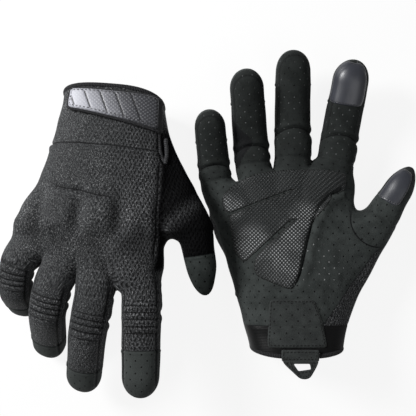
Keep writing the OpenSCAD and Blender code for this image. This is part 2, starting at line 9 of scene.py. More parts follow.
import bmesh
import bpy
import numpy as np
from mathutils import Vector
from mathutils.bvhtree import BVHTree
from mathutils.geometry import delaunay_2d_cdt
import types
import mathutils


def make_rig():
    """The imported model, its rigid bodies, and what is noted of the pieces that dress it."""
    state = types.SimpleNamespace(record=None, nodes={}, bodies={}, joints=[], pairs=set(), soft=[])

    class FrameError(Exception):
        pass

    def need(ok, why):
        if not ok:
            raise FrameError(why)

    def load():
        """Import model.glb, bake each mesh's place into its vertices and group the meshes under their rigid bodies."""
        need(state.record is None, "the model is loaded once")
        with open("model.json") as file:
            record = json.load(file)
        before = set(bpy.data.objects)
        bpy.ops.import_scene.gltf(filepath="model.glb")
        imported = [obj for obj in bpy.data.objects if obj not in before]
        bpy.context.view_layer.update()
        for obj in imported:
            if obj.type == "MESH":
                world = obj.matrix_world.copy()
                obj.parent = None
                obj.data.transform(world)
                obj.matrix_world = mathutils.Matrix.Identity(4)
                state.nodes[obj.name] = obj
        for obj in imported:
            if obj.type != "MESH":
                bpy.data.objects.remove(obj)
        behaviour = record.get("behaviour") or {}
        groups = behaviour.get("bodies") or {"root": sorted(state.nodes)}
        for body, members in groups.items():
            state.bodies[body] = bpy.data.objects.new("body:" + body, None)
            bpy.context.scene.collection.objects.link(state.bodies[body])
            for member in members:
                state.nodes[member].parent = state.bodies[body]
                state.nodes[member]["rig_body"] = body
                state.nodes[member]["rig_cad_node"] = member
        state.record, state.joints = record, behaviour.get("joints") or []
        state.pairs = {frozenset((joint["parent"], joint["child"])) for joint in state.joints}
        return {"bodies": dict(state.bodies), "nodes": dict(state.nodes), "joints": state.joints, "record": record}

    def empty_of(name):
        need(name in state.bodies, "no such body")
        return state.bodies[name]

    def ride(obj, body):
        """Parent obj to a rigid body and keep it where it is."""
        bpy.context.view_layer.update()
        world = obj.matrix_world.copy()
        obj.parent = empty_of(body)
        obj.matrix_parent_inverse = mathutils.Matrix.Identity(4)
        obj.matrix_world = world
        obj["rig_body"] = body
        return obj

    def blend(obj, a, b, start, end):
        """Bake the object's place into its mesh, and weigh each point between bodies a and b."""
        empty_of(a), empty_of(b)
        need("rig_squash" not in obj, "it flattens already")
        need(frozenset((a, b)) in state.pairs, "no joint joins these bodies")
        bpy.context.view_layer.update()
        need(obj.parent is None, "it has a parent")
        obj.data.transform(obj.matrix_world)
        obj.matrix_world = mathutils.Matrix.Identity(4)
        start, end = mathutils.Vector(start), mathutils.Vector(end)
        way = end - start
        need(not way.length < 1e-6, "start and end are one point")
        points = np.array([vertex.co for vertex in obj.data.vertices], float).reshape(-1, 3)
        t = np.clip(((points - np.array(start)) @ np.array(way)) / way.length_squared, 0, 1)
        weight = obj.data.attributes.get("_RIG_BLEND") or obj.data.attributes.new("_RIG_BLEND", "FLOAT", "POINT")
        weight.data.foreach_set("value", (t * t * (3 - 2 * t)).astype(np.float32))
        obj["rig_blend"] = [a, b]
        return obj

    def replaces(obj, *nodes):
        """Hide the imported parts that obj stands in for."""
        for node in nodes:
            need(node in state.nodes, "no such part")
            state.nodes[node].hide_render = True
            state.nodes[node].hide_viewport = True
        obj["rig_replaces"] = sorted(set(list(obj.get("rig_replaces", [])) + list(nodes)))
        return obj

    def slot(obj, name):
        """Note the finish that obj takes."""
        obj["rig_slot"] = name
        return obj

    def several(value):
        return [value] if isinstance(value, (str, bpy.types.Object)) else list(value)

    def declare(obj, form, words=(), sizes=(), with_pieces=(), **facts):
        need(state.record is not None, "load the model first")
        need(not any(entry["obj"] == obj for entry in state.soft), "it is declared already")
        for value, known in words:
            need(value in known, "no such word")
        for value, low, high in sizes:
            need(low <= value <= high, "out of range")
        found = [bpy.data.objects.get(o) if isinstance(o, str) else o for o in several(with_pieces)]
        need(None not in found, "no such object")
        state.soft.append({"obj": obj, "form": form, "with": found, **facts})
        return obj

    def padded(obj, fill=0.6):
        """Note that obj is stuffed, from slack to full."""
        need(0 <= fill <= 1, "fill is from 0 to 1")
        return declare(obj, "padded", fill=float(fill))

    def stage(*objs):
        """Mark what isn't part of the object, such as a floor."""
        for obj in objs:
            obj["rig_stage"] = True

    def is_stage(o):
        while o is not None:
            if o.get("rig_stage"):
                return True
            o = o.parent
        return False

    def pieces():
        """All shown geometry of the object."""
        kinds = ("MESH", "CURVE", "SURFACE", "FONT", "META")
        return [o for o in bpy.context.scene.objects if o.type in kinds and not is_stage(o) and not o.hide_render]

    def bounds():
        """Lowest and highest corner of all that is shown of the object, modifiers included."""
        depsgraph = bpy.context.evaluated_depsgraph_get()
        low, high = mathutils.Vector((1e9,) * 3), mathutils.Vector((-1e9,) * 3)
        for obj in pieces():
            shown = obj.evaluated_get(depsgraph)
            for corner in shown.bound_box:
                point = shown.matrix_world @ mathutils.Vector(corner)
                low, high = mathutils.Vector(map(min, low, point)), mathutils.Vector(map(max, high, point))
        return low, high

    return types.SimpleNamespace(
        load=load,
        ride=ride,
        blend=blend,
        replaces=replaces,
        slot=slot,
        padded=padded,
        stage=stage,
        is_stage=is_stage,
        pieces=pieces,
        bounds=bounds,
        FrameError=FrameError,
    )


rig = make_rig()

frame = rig.load()
cad_box = [list(corner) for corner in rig.bounds()]
joints = {joint["name"]: joint for joint in frame["joints"]}
mounts = {mount["name"]: mount for mount in frame["record"]["mounts"]}

MM = 0.001
GLOVES = ("palm_down_", "palm_up_")
FINGERS = ("index", "middle", "ring", "little")
HAND_NODES = ("cuff", "back_panel", "palm_panel", "thumb_base")
UP = np.array([0.0, 0.0, 1.0])

# Fineness of the skin and thickness of its wall, in millimetres
VOXEL = 1.1
SKIN_WALL = 1.2
# Roundness of the sections, as powers of a superellipse
HAND_POWER = 2.7
STALL_POWER = 2.3
# How late the hand widens towards the fingers, as a power
HAND_FLARE = 1.2
# The same on the little finger's side of each glove, and how much later that side reaches its full width
LITTLE_FLARES = (1.5, 1.1)
LITTLE_LATE = 1.12
# How far behind the first knuckle the hand has its full thickness and its full width
HAND_THICK = 15.0
HAND_WIDE = 5.2
# The hand's end between the fingers: distance behind the knuckles, slope in the thickness, softness
HAND_END = 8.0
END_SLOPE = 0.45
END_BLEND = 8.0
# How far a stall's line reaches back into the hand
ROOT = 22.0
# How far a finger's line leans inwards there, as a share of its distance from the middle of the row
ROOT_LEAN = 0.32
# How softly the hand, the thumb and the fingers run into each other
WEB_BLEND = 5.0
THUMB_BLEND = 12.0
BALL_BLEND = 6.0
# The flat side that runs out to the thumb: start from the cuff, place in from the side, half height, sink
WEDGE_FROM = 14.0
WEDGE_IN = 3.0
WEDGE_HALF = 7.0
WEDGE_SINK = 1.5
JOINT_SOFTNESS = 5
# Narrowing of a stall to its tip, and the length of its rounded end as a share of half its width
FINGER_TAPER = 0.1
THUMB_TAPER = 0.3
FINGER_POINT = 1.1
THUMB_POINT = 1.7
# Where the skin is cut into pieces: share of the way to a middle joint, and place along the thumb
FINGER_CUT = 0.55
THUMB_CUT = -12.0
# Numbers of the skin's pieces: the hand, the index finger's base and tip with the others after it, the thumb
HAND_PIECE = 0
BASE_PIECE = 1
TIP_PIECE = 5
THUMB_PIECE = 9
# Where rays that look for the skin start, over the palm and under the back
CAST_FROM = 60
# Overlap of the joints' blends with the cuts, and reach of the thumb's blend
BLEND_IN = 1.5
THUMB_REACH = 10.0
# Each cuff's edge: cut back on the little finger's side and the thumb's, slant, and rise on the back
RIM_CUTS = ((1.2, 4.5), (4.5, 4.5))
RIM_SLANTS = (0.04, 0.0)
RIM_RISES = (2.4, 0.0)
# Pleats over the middle joints: number, height, sink, shift from the flex panels, and puckers in them
PLEATS = 4
PLEAT_HEIGHT = 1.6
PLEAT_SINK = 0.5
PLEAT_SHIFTS = (10.0, 5.0, 3.0, 0.0)
PUCKER = 0.22
PUCKER_PITCH = 3.3
# Length of each suede fingertip on the back
CAPS = (34.0, 27.0, 27.0, 26.0)
THUMB_CAP = 30.0
# Seams along a finger's back and stitches round its tip, as shares of half its width
BACK_SEAM = 0.8
TIP_STITCH = 0.78
# Domes over the knuckles: height, half width, place as a share of the knuckle's, rise and fall
KNUCKLE_HEIGHT = 5.0
KNUCKLE_HALF = 11.0
KNUCKLE_AT = 0.93
KNUCKLE_RISE = (-18.0, 9.0)
KNUCKLE_FALL = (30.0, 16.0)
# Top of the elastic band, from the cuff's edge
BAND_TOP = 20.7
# Grooves: depth and width, then height, place and width of the lip beside it
FINGER_SEAM = (0.7, 0.7, 0.35, -1.5, 0.9)
CAP_SEAM = (0.6, 0.6, 0.45, 1.2, 1.0)
HAND_SEAM = (1.3, 1.1, 0.8, 2.6, 2.0)
HAND_FOLD = (1.9, 1.7, 0.9, 4.5, 3.0)
FINGER_CREASE = (1.5, 1.2, 0.7, 4.0, 2.4)
# Line on the palm where the back's knit comes round the thumb's ball, as two points
KNIT_FROM = (22.0, 28.0)
KNIT_TO = (62.0, 79.0)
# Where a finger's or the thumb's cloth takes over from the hand's, along it
FINGER_STARTS = (-9.0, 5.0)
THUMB_STARTS = (-24.0, -4.0)
# Sewn lines of the hand: the cuff's seam and the thumb-side seam on the back, the gusset's seam on the palm
CUFF_SEAM = 41.7
CUFF_SLANT = 0.05
SIDE_SEAM = 38.5
SIDE_SEAM_ENDS = (126.0, 112.0)
GUSSET = ((35, 120), (24, 115), (17, 107), (11, 94), (7.5, 81.5), (4.5, 69), (1.5, 58.5), (-1, 52.5),
          (-5, 47.5))
# Round seam at the thumb's root: its middle, its radius, and where it ends across and along the hand
THUMB_SEAM_AT = (60.0, 97.0)
THUMB_SEAM = 20.0
THUMB_SEAM_ENDS = ((64.0, 58.0), (106.0, 100.0))
# Painted shade in the hollows between the knuckles and the fingers' roots: their middles, half widths and darkness
HOLLOWS = ((-46, 105), (-27, 112), (-5, 113), (21, 113))
HOLLOW_HALF = (9, 8)
HOLLOW_DARK = 0.45
# Folds: one over the knuckles' near side, and the main crease on each finger's palm side, from its root
BACK_FOLD = 78.5
FOLD_SLANT = 0.18
FOLD_ENDS = ((-38.0, -29.0), (12.0, 2.0))
CREASES = (24.0, 27.0, 18.0, 17.0)
CREASE_BOW = 0.03
ROOT_CREASE = 4.0
# Middle and reach, along the ring finger, of the painted shade on the side wall that shows on the palm-up glove
RING_WALL_AT = 22.0
RING_WALL_REACH = 13.0
# Slit beside the strap, on the thumb's side of the back: its two ends, half its width and its depth
SLIT_FROM = (36.5, 27.0)
SLIT_TO = (41.5, 52.0)
SLIT_HALF = 2.8
SLIT_DEPTH = 2.2
# Outlines on the palm, in the hand frame: three embossed lobes and the heel's patch
UPPER_LOBE = ((-50.5, 101.5), (-32, 108.8), (-18, 114.2), (-4, 119.4), (1, 119), (10, 117), (25, 116.5),
              (36.5, 118.5), (37, 131.5), (19, 134.5), (1, 134.5), (-21, 133), (-32, 130.5), (-44, 125),
              (-54.5, 115.5), (-55, 107.5))
MIDDLE_LOBE = ((-39.3, 65.2), (-3.8, 97.9), (2, 96), (11, 95), (24.5, 110), (27, 118), (14, 122), (1, 122),
               (-4, 118.3), (-18, 113.2), (-32, 107.8), (-50, 100.7), (-49, 94), (-47.5, 84), (-46, 74.5))
LOWER_LOBE = ((-6.7, 46.3), (-2, 49), (0.5, 58), (3.4, 71.5), (7, 83), (11, 94.5), (15, 101), (2, 100),
              (-2.5, 96.6), (-13, 87), (-24, 76.8), (-31.5, 69), (-32, 60.5), (-29.5, 55.5))
HEEL = ((-21.3, 39.5), (11, 39.5), (16.5, 24), (19.5, 5.5), (-23, 5.5))
# Lobes' embossed scales: step between neighbours, pitch of the rows, height, and how the rows bulge
SCALE_STEP = 2.05
SCALE_PITCH = 1.414 * SCALE_STEP
SCALE_HEIGHT = 0.1
SWELL_AT = (-17.0, 93.0)
SWELL = 0.00016
# Painted highlights on the print: middle and reach of each spot
PAINTED_SHINES = ((-8, 68, 24), (-32, 79, 18), (4, 99, 15), (-48, 107, 12), (-5, 88, 13))
# Pitch of the suede's perforations
HOLE_PITCH = 8.4
# Middle of the painted highlights in the suede's perforations at the thumb's ball
BALL_AT = (19.0, 66.0)
# Strap: its ends as shares of half the wrist, and its upper edge and its width at each end
STRAP_ENDS = (-0.75, 0.93)
STRAP_TOPS = (-0.6, 3.4)
STRAP_HEIGHTS = (16.5, 27.5)
# How much shorter than the strap its tapes are
TAPE_SHORT = 11.0
# Grooves between the strap's moulded bars
GROOVES = 5
GROOVE_DEPTH = 0.7
GROOVE_HALF = 0.45
GROOVE_FROM = -27.3
GROOVE_PITCH = 9.9
GROOVE_SLOPE = 0.38
# Smooth patches on the index finger and the thumb: length, then distance from the tip and sides of each
TOUCH_LENGTH = 32.0
INDEX_TOUCH = (1.5, (-1.3, 0.9))
THUMB_TOUCH = (1.0, (-1.25, 0.45))
# Pieces sewn on: height, rounding of the edge, and depth below the surface
LOBE_PAD = (0.6, 0.8, 0.8)
HEEL_PAD = (1.0, 0.9, 0.8)
TOUCH_PAD = (0.55, 0.8, 0.7)
LOOP_PAD = (0.7, 0.6, 0.6)
LOOP_ROOT_PAD = (0.7, 0.6, 0.9)
STRAP_EDGE = 0.8
# Pull loop, as distances across and away from its hinge
LOOP = ((-13.2, 0), (-11.2, 3), (-1, 12.4), (3, 13), (6.5, 11.8), (10.6, 5), (12.8, 0))
LOOP_HOLE = ((-5.2, 2.2), (6.2, 2.2), (7, 6), (-1.8, 7.2))
LOOP_ROOT = ((-13.6, 4.5), (13, 4.5), (12.9, -3.6), (-13.3, -3.6))
# Piping along both sides of the slit, to its end; the far one starts below the strap, which swings over it
NEAR_PIPING = ((34.4, 0.5), (35.3, 12), (35.6, 28), (36.3, 36), (37.6, 44), (41.6, 52.5))
FAR_PIPING = ((40.9, 32), (42.0, 38), (43, 44), (42.8, 49), (42.0, 53.5))
PIPING = 1.5
# Rolled binding of the cuff's edge: half its size outwards and along the hand, and how far it is set in
BINDING = (1.3, 1.7)
BINDING_IN = 0.4
# Foam over the knuckles: depth below the skin's face, thickness, and distance in from the node's sides
FOAM_UNDER = 1.7
FOAM = 2.4
FOAM_IN = 3.0
# Lights, in metres and watts: place, size and power; then the strength of the white surroundings
KEY_LIGHT = ((-0.75, 0.4, 0.62), 0.35, 14.0)
FILL_LIGHT = ((0.4, -0.5, 1.1), 0.8, 2.4)
SURROUNDINGS = 0.16
# Camera, in metres: its place, and the width that it shows at a distance; then its sensor in millimetres
CAMERA_AT = (-0.0026, 0.0106, 0.52)
SHOWN_WIDTH = 0.312
SHOWN_AT = 0.498
SENSOR = 36.0


def unit(v):
    return v / np.linalg.norm(v)


def turned(v, axis, degrees):
    """v turned about a unit axis by the right-hand rule."""
    a = math.radians(degrees)
    return v * math.cos(a) + np.cross(axis, v) * math.sin(a) + axis * (v @ axis) * (1 - math.cos(a))


def smooth_step(low, high, x):
    t = np.clip((x - low) / (high - low), 0, 1)
    return t * t * (3 - 2 * t)


def bump(x, width):
    return np.exp(-(x / width) ** 2)


def stitched(d, depth, width, lip, lip_at, lip_width):
    """Height near a sewn line: a groove, with a raised lip beside it."""
    return lip * bump(d - lip_at, lip_width) - depth * bump(d, width)


def smooth_min(a, b, radius):
    h = np.clip(0.5 + 0.5 * (b - a) / radius, 0, 1)
    return b * (1 - h) + a * h - radius * h * (1 - h)


def oval_distance(x, z, half_x, half_z, power):
    """Distance from a rounded section with these half widths, good near its outline."""
    x = np.abs(x) / half_x
    z = np.abs(z) / half_z
    rho = (x ** power + z ** power) ** (1 / power) + 1e-6
    slope = np.sqrt((x ** (power - 1) / half_x) ** 2 + (z ** (power - 1) / half_z) ** 2) / rho ** (power - 1)
    return (rho - 1) / np.maximum(slope, 0.5 / np.maximum(half_x, half_z))


def units(vectors):
    return vectors / np.linalg.norm(vectors, axis=1)[:, None]


def run_along(line):
    """How far along a line of points each of them lies."""
    return np.concatenate([[0], np.cumsum(np.linalg.norm(np.diff(line, axis=0), axis=1))])


def resampled(outline, count):
    """This many points at even steps round a closed outline."""
    closed = np.vstack([outline, outline[:1]])
    s = run_along(closed)
    at = np.linspace(0, s[-1], count, endpoint=False)
    return np.column_stack([np.interp(at, s, values) for values in closed.T])


def line_distance(x, y, line):
    """Signed distance from a line of points, and how far along it the nearest point lies, from 0 to 1."""
    line = np.asarray(line, float)
    starts = run_along(line)
    lengths = np.diff(starts)
    best = np.full(np.shape(x), 1e9)
    along = np.zeros(np.shape(x))
    for a, b, length, start in zip(line, line[1:], lengths, starts):
        way = (b - a) / length
        t = np.clip((x - a[0]) * way[0] + (y - a[1]) * way[1], 0, length)
        off_x = x - a[0] - t * way[0]
        off_y = y - a[1] - t * way[1]
        d = np.hypot(off_x, off_y) * np.where(way[0] * off_y - way[1] * off_x < 0, -1, 1)
        nearer = np.abs(d) < np.abs(best)
        best = np.where(nearer, d, best)
        along = np.where(nearer, (start + t) / starts[-1], along)
    return best, along


class Stall:
    """A finger or thumb stall: a soft centre line that bends at its joints, with a rounded section."""

    def __init__(self, corners, side, half_w, half_t, taper, point, hinge):
        line = [corners[0]]
        for a, b in zip(corners, corners[1:]):
            count = max(2, int(round(np.linalg.norm(b - a))))
            line += [a + (b - a) * k / count for k in range(1, count + 1)]
        line = np.array(line)
        reach = 3 * JOINT_SOFTNESS
        kernel = np.exp(-0.5 * (np.arange(-reach, reach + 1) / JOINT_SOFTNESS) ** 2)
        kernel /= kernel.sum()
        before = 2 * line[0] - line[reach:0:-1]
        after = 2 * line[-1] - line[-2:-reach - 2:-1]
        padded = np.concatenate([before, line, after])
        self.line = np.column_stack([np.convolve(padded[:, k], kernel, "valid") for k in range(3)])
        self.s = run_along(self.line)
        self.s -= self.place_of(hinge)
        self.straight = self.s[-1]
        self.tangent = units(np.gradient(self.line, axis=0))
        self.side = side
        self.palm = np.cross(side, self.tangent)
        self.half_w = half_w
        self.half_t = half_t
        self.end = point * half_w
        self.length = self.straight + self.end
        self.taper = taper

    def place_of(self, point):
        """How far along the line its nearest point lies."""
        return self.s[np.argmin(np.linalg.norm(self.line - point, axis=1))]

    def locate(self, points):
        """Distance along the line, place across it and place towards the palm, for each point."""
        near = ((self.line ** 2).sum(1) - 2 * points @ self.line.T).argmin(1)
        off = points - self.line[near]
        along = (off * self.tangent[near]).sum(1)
        return self.s[near] + along, off @ self.side, (off * self.palm[near]).sum(1)

    def gap(self, s, across, up):
        """Distance from the stall's surface of a point at this place along, across and towards the palm."""
        share = 1 - self.taper * np.clip(s / self.length, 0, 1)
        past = np.clip(s - self.straight, 0, None) / self.end + np.clip(self.s[0] - s, 0, None) / self.half_w
        flat = oval_distance(across, up, self.half_w * share, self.half_t * share, STALL_POWER)
        x = np.abs(across) / (self.half_w * share)
        z = np.abs(up) / (self.half_t * share)
        rho = ((x ** STALL_POWER + z ** STALL_POWER) ** (2 / STALL_POWER) + past ** 2) ** 0.5
        return np.where(past > 0, (rho - 1) * self.half_t, flat)

    def distance(self, points):
        """Distance from the stall, worked out only for points that are near it."""
        reach = 2.5 * self.half_w
        near = ((points > self.line.min(0) - reach) & (points < self.line.max(0) + reach)).all(1)
        d = np.full(len(points), 1.6 * self.half_w)
        d[near] = self.gap(*self.locate(points[near]))
        return d

    def at(self, s):
        """Point, tangent and palm direction at a distance along the line."""
        pick = [np.array([np.interp(s, self.s, values[:, k]) for k in range(3)])
                for values in (self.line, self.tangent, self.palm)]
        return pick[0], unit(pick[1]), unit(pick[2])


class Glove:
    """The bones and sizes of one glove, in its hand frame."""

    def __init__(self, name):
        self.name = name
        x_axis = -np.array(joints[name + "loop"]["axis"])
        y_axis = -np.array(joints[name + "strap"]["axis"])
        self.turn = np.column_stack([x_axis, y_axis, np.cross(x_axis, y_axis)])
        self.origin = np.array(mounts[name + "cuff_opening"]["pos_m"]) / MM
        self.measure_fingers()
        self.measure_hand()
        self.measure_thumb()

    def local(self, points):
        return (np.asarray(points, float) / MM - self.origin) @ self.turn

    def world(self, points):
        return (self.origin + np.asarray(points) @ self.turn.T) * MM

    def node_points(self, node):
        return self.local([vertex.co for vertex in frame["nodes"][self.name + node].data.vertices])

    def hinge(self, name):
        joint = joints[self.name + name]
        bend = -joint["range_deg"][0]
        return self.local(joint["pos_m"]), np.array(joint["axis"]) @ self.turn, bend

    def measure_fingers(self):
        self.fingers = []
        self.joint_at = []
        self.flex = []
        row = np.mean([self.hinge(finger + "_knuckle")[0] for finger in FINGERS], axis=0)
        for finger in FINGERS:
            knuckle, side, knuckle_bend = self.hinge(finger + "_knuckle")
            middle, side, middle_bend = self.hinge(finger + "_middle")
            straight = np.cross(UP, side)
            base_palm = turned(UP, side, knuckle_bend)
            tip_way = turned(straight, side, knuckle_bend + middle_bend)
            tip_palm = np.cross(side, tip_way)
            base = self.node_points(finger + "_base") - knuckle
            tip = self.node_points(finger + "_tip") - middle
            half_w = np.abs(base @ side).max()
            half_t = np.ptp(base @ base_palm) / 2
            length = (tip @ tip_way).max()
            lean = ROOT_LEAN * (row - knuckle) * (1, 0, 0)
            corners = [
                knuckle - UP * half_t - straight * ROOT + lean,
                knuckle - unit(UP + base_palm) * half_t,
                middle - unit(base_palm + tip_palm) * half_t,
                middle - tip_palm * half_t + tip_way * (length - FINGER_POINT * half_w)]
            stall = Stall(corners, side, half_w, half_t, FINGER_TAPER, FINGER_POINT, corners[1])
            self.fingers.append(stall)
            self.joint_at.append(stall.place_of(corners[2]))
            flex = stall.locate(self.node_points(finger + "_flex_panel"))[0]
            self.flex.append((flex.min(), flex.max()))

    def measure_hand(self):
        cuff = self.node_points("cuff")
        mouth = cuff[cuff[:, 1] < 1]
        self.wrist_half = np.abs(mouth[:, 0]).max()
        knuckles = np.array([self.hinge(finger + "_knuckle")[0] for finger in FINGERS])
        halves = np.array([stall.half_w for stall in self.fingers])
        self.roots = knuckles
        self.row_low = (knuckles[:, 0] - halves).min()
        self.row_high = (knuckles[:, 0] + halves).max()
        self.wide_y = knuckles[:, 1].min() - HAND_WIDE
        palm = np.concatenate([cuff, self.node_points("palm_panel")])
        self.stations = np.linspace(0, knuckles[:, 1].min() - HAND_THICK, 9)
        reach = self.stations[1] / 2
        self.half_t = np.array([palm[np.abs(palm[:, 1] - y) < reach][:, 2].max() for y in self.stations])

    def hand_section(self, y):
        """Middle, half width and half thickness of the hand at a distance from the cuff edge."""
        flare = LITTLE_FLARES[GLOVES.index(self.name)]
        thumb_side = np.clip(y / self.wide_y, 0, 1) ** HAND_FLARE
        little_side = np.clip(y / (LITTLE_LATE * self.wide_y), 0, 1) ** flare
        high = self.wrist_half + thumb_side * (self.row_high - self.wrist_half)
        low = -self.wrist_half + little_side * (self.row_low + self.wrist_half)
        return (low + high) / 2, (high - low) / 2, np.interp(y, self.stations, self.half_t)

    def measure_thumb(self):
        hinge, side, bend = self.hinge("thumb")
        straight = np.cross(UP, side)
        tip_way = turned(straight, side, bend)
        tip_palm = np.cross(side, tip_way)
        tip = self.node_points("thumb_tip") - hinge
        half_w = np.abs(tip @ side).max()
        half_t = -(tip @ tip_palm).min() / 2
        length = (tip @ tip_way).max()
        joint = hinge - unit(UP + tip_palm) * half_t
        corners = [
            joint + ROOT * unit(self.node_points("thumb_base").mean(0) - joint),
            joint,
            hinge - tip_palm * half_t + tip_way * (length - THUMB_POINT * half_w)]
        self.thumb = Stall(corners, side, half_w, half_t, THUMB_TAPER, THUMB_POINT, joint)
        middle, half_w, half_t = self.hand_section(WEDGE_FROM)
        edge = middle + half_w - WEDGE_IN
        wedge = [(edge, WEDGE_FROM, z) for z in (-WEDGE_HALF, WEDGE_HALF)]
        self.thumb_planes = hull_planes(np.vstack([self.node_points("thumb_base"), wedge]))

    def hand_distance(self, points):
        x, y, z = points.T
        middle, half_w, half_t = self.hand_section(y)
        section = oval_distance(x - middle, z, half_w, half_t, HAND_POWER)
        order = np.argsort(self.roots[:, 0])
        end = np.interp(x, self.roots[order, 0], self.roots[order, 1]) - HAND_END
        past = y - end - END_SLOPE * z
        return -smooth_min(-section, -past, END_BLEND)

    def thumb_distance(self, points):
        flat = (points @ self.thumb_planes[:, :3].T - self.thumb_planes[:, 3]).max(1)
        return smooth_min(flat + WEDGE_SINK, self.thumb.distance(points), BALL_BLEND)

    def distance(self, points):
        d = smooth_min(self.hand_distance(points), self.thumb_distance(points), THUMB_BLEND)
        fingers = np.min([stall.distance(points) for stall in self.fingers], axis=0)
        return smooth_min(d, fingers, WEB_BLEND)


def hull_planes(points):
    """Outward planes, as normal and distance, of the hull of some points."""
    hull = bmesh.new()
    for p in np.unique(points.round(3), axis=0):
        hull.verts.new(p)
    bmesh.ops.convex_hull(hull, input=hull.verts[:])
    planes = []
    for face in hull.faces:
        face.normal_update()
        planes.append([*face.normal, face.normal @ face.verts[0].co])
    hull.free()
    return np.unique(np.array(planes).round(4), axis=0)


def sampled_field(distance, low, high):
    """The distance on a grid of points, worked out in full only near the surface."""
    block = 4
    blocks = np.ceil((high - low) / (VOXEL * block)).astype(int)
    axes = [low[k] + VOXEL * (np.arange(blocks[k]) * block + (block - 1) / 2) for k in range(3)]
    centres = np.stack(np.meshgrid(*axes, indexing="ij"), -1).reshape(-1, 3)
    coarse = np.concatenate([distance(part) for part in np.array_split(centres, 8)]).reshape(blocks)
    field = coarse
    for axis in range(3):
        field = np.repeat(field, block, axis)
    near = np.argwhere(np.abs(field) < 1.8 * block * VOXEL)
    points = low + VOXEL * near
    values = np.concatenate([distance(part) for part in np.array_split(points, 8)])
    field[tuple(near.T)] = values
    return field


def surface_net(field, low):
    """Quads of the zero level of a sampled field, with one vertex in each cell that the level crosses."""
    inside = field < 0
    cells = tuple(n - 1 for n in field.shape)
    count = np.zeros(cells)
    total = np.zeros(cells + (3,))

    def corner(array, offset):
        return array[tuple(slice(o, o + n) for o, n in zip(offset, cells))]

    for axis in range(3):
        others = [k for k in range(3) if k != axis]
        for first in (0, 1):
            for second in (0, 1):
                start = [0, 0, 0]
                start[others[0]] = first
                start[others[1]] = second
                stop = list(start)
                stop[axis] = 1
                a = corner(field, start)
                b = corner(field, stop)
                crossed = corner(inside, start) != corner(inside, stop)
                share = a[crossed] / (a[crossed] - b[crossed])
                place = np.tile(np.array(start, float), (len(share), 1))
                place[:, axis] = share
                total[crossed] += place
                count[crossed] += 1
    active = count > 0
    index = np.full(cells, -1)
    index[active] = np.arange(active.sum())
    vertices = low + VOXEL * (np.argwhere(active) + total[active] / count[active][:, None])
    quads = []
    for axis in range(3):
        u, v = (axis + 1) % 3, (axis + 2) % 3
        low_end = [slice(1, n) for n in cells]
        low_end[axis] = slice(0, cells[axis])
        high_end = list(low_end)
        high_end[axis] = slice(1, cells[axis] + 1)
        a = inside[tuple(low_end)]
        b = inside[tuple(high_end)]
        for crossed, flip in ((a & ~b, False), (~a & b, True)):
            at = np.argwhere(crossed)
            at[:, u] += 1
            at[:, v] += 1
            ring = []
            for du, dv in ((-1, -1), (0, -1), (0, 0), (-1, 0)):
                cell = at.copy()
                cell[:, u] += du
                cell[:, v] += dv
                ring.append(index[tuple(cell.T)])
            ring = np.column_stack(ring)
            quads.append(ring[:, ::-1] if flip else ring)
    return vertices, np.concatenate(quads)


def edges_of(faces):
    return np.unique(np.sort(sides_of(faces), 1), axis=0)


def smoothed(vertices, edges, rounds):
    """Vertices evened out without shrinking."""
    degree = np.bincount(edges.ravel(), minlength=len(vertices))[:, None]
    for _ in range(rounds):
        for weight in (0.5, -0.52):
            total = np.zeros_like(vertices)
            np.add.at(total, edges[:, 0], vertices[edges[:, 1]])
            np.add.at(total, edges[:, 1], vertices[edges[:, 0]])
            vertices = vertices + weight * (total / np.maximum(degree, 1) - vertices)
    return vertices


def normals_of(vertices, quads):
    a, b, c, d = (vertices[quads[:, k]] for k in range(4))
    face = np.cross(c - a, d - b)
    normal = np.zeros_like(vertices)
    for k in range(4):
        np.add.at(normal, quads[:, k], face)
    return normal / np.maximum(np.linalg.norm(normal, axis=1), 1e-9)[:, None]


def sides_of(faces):
    corners = faces.shape[1]
    return np.concatenate([faces[:, [k, (k + 1) % corners]] for k in range(corners)])


def rim_edges(faces):
    """The open edges of a sheet, in the direction that its faces go round."""
    sides = sides_of(faces)
    found = np.unique(np.sort(sides, 1), axis=0, return_inverse=True, return_counts=True)
    which, times = found[1:]
    return sides[times[which.ravel()] == 1]


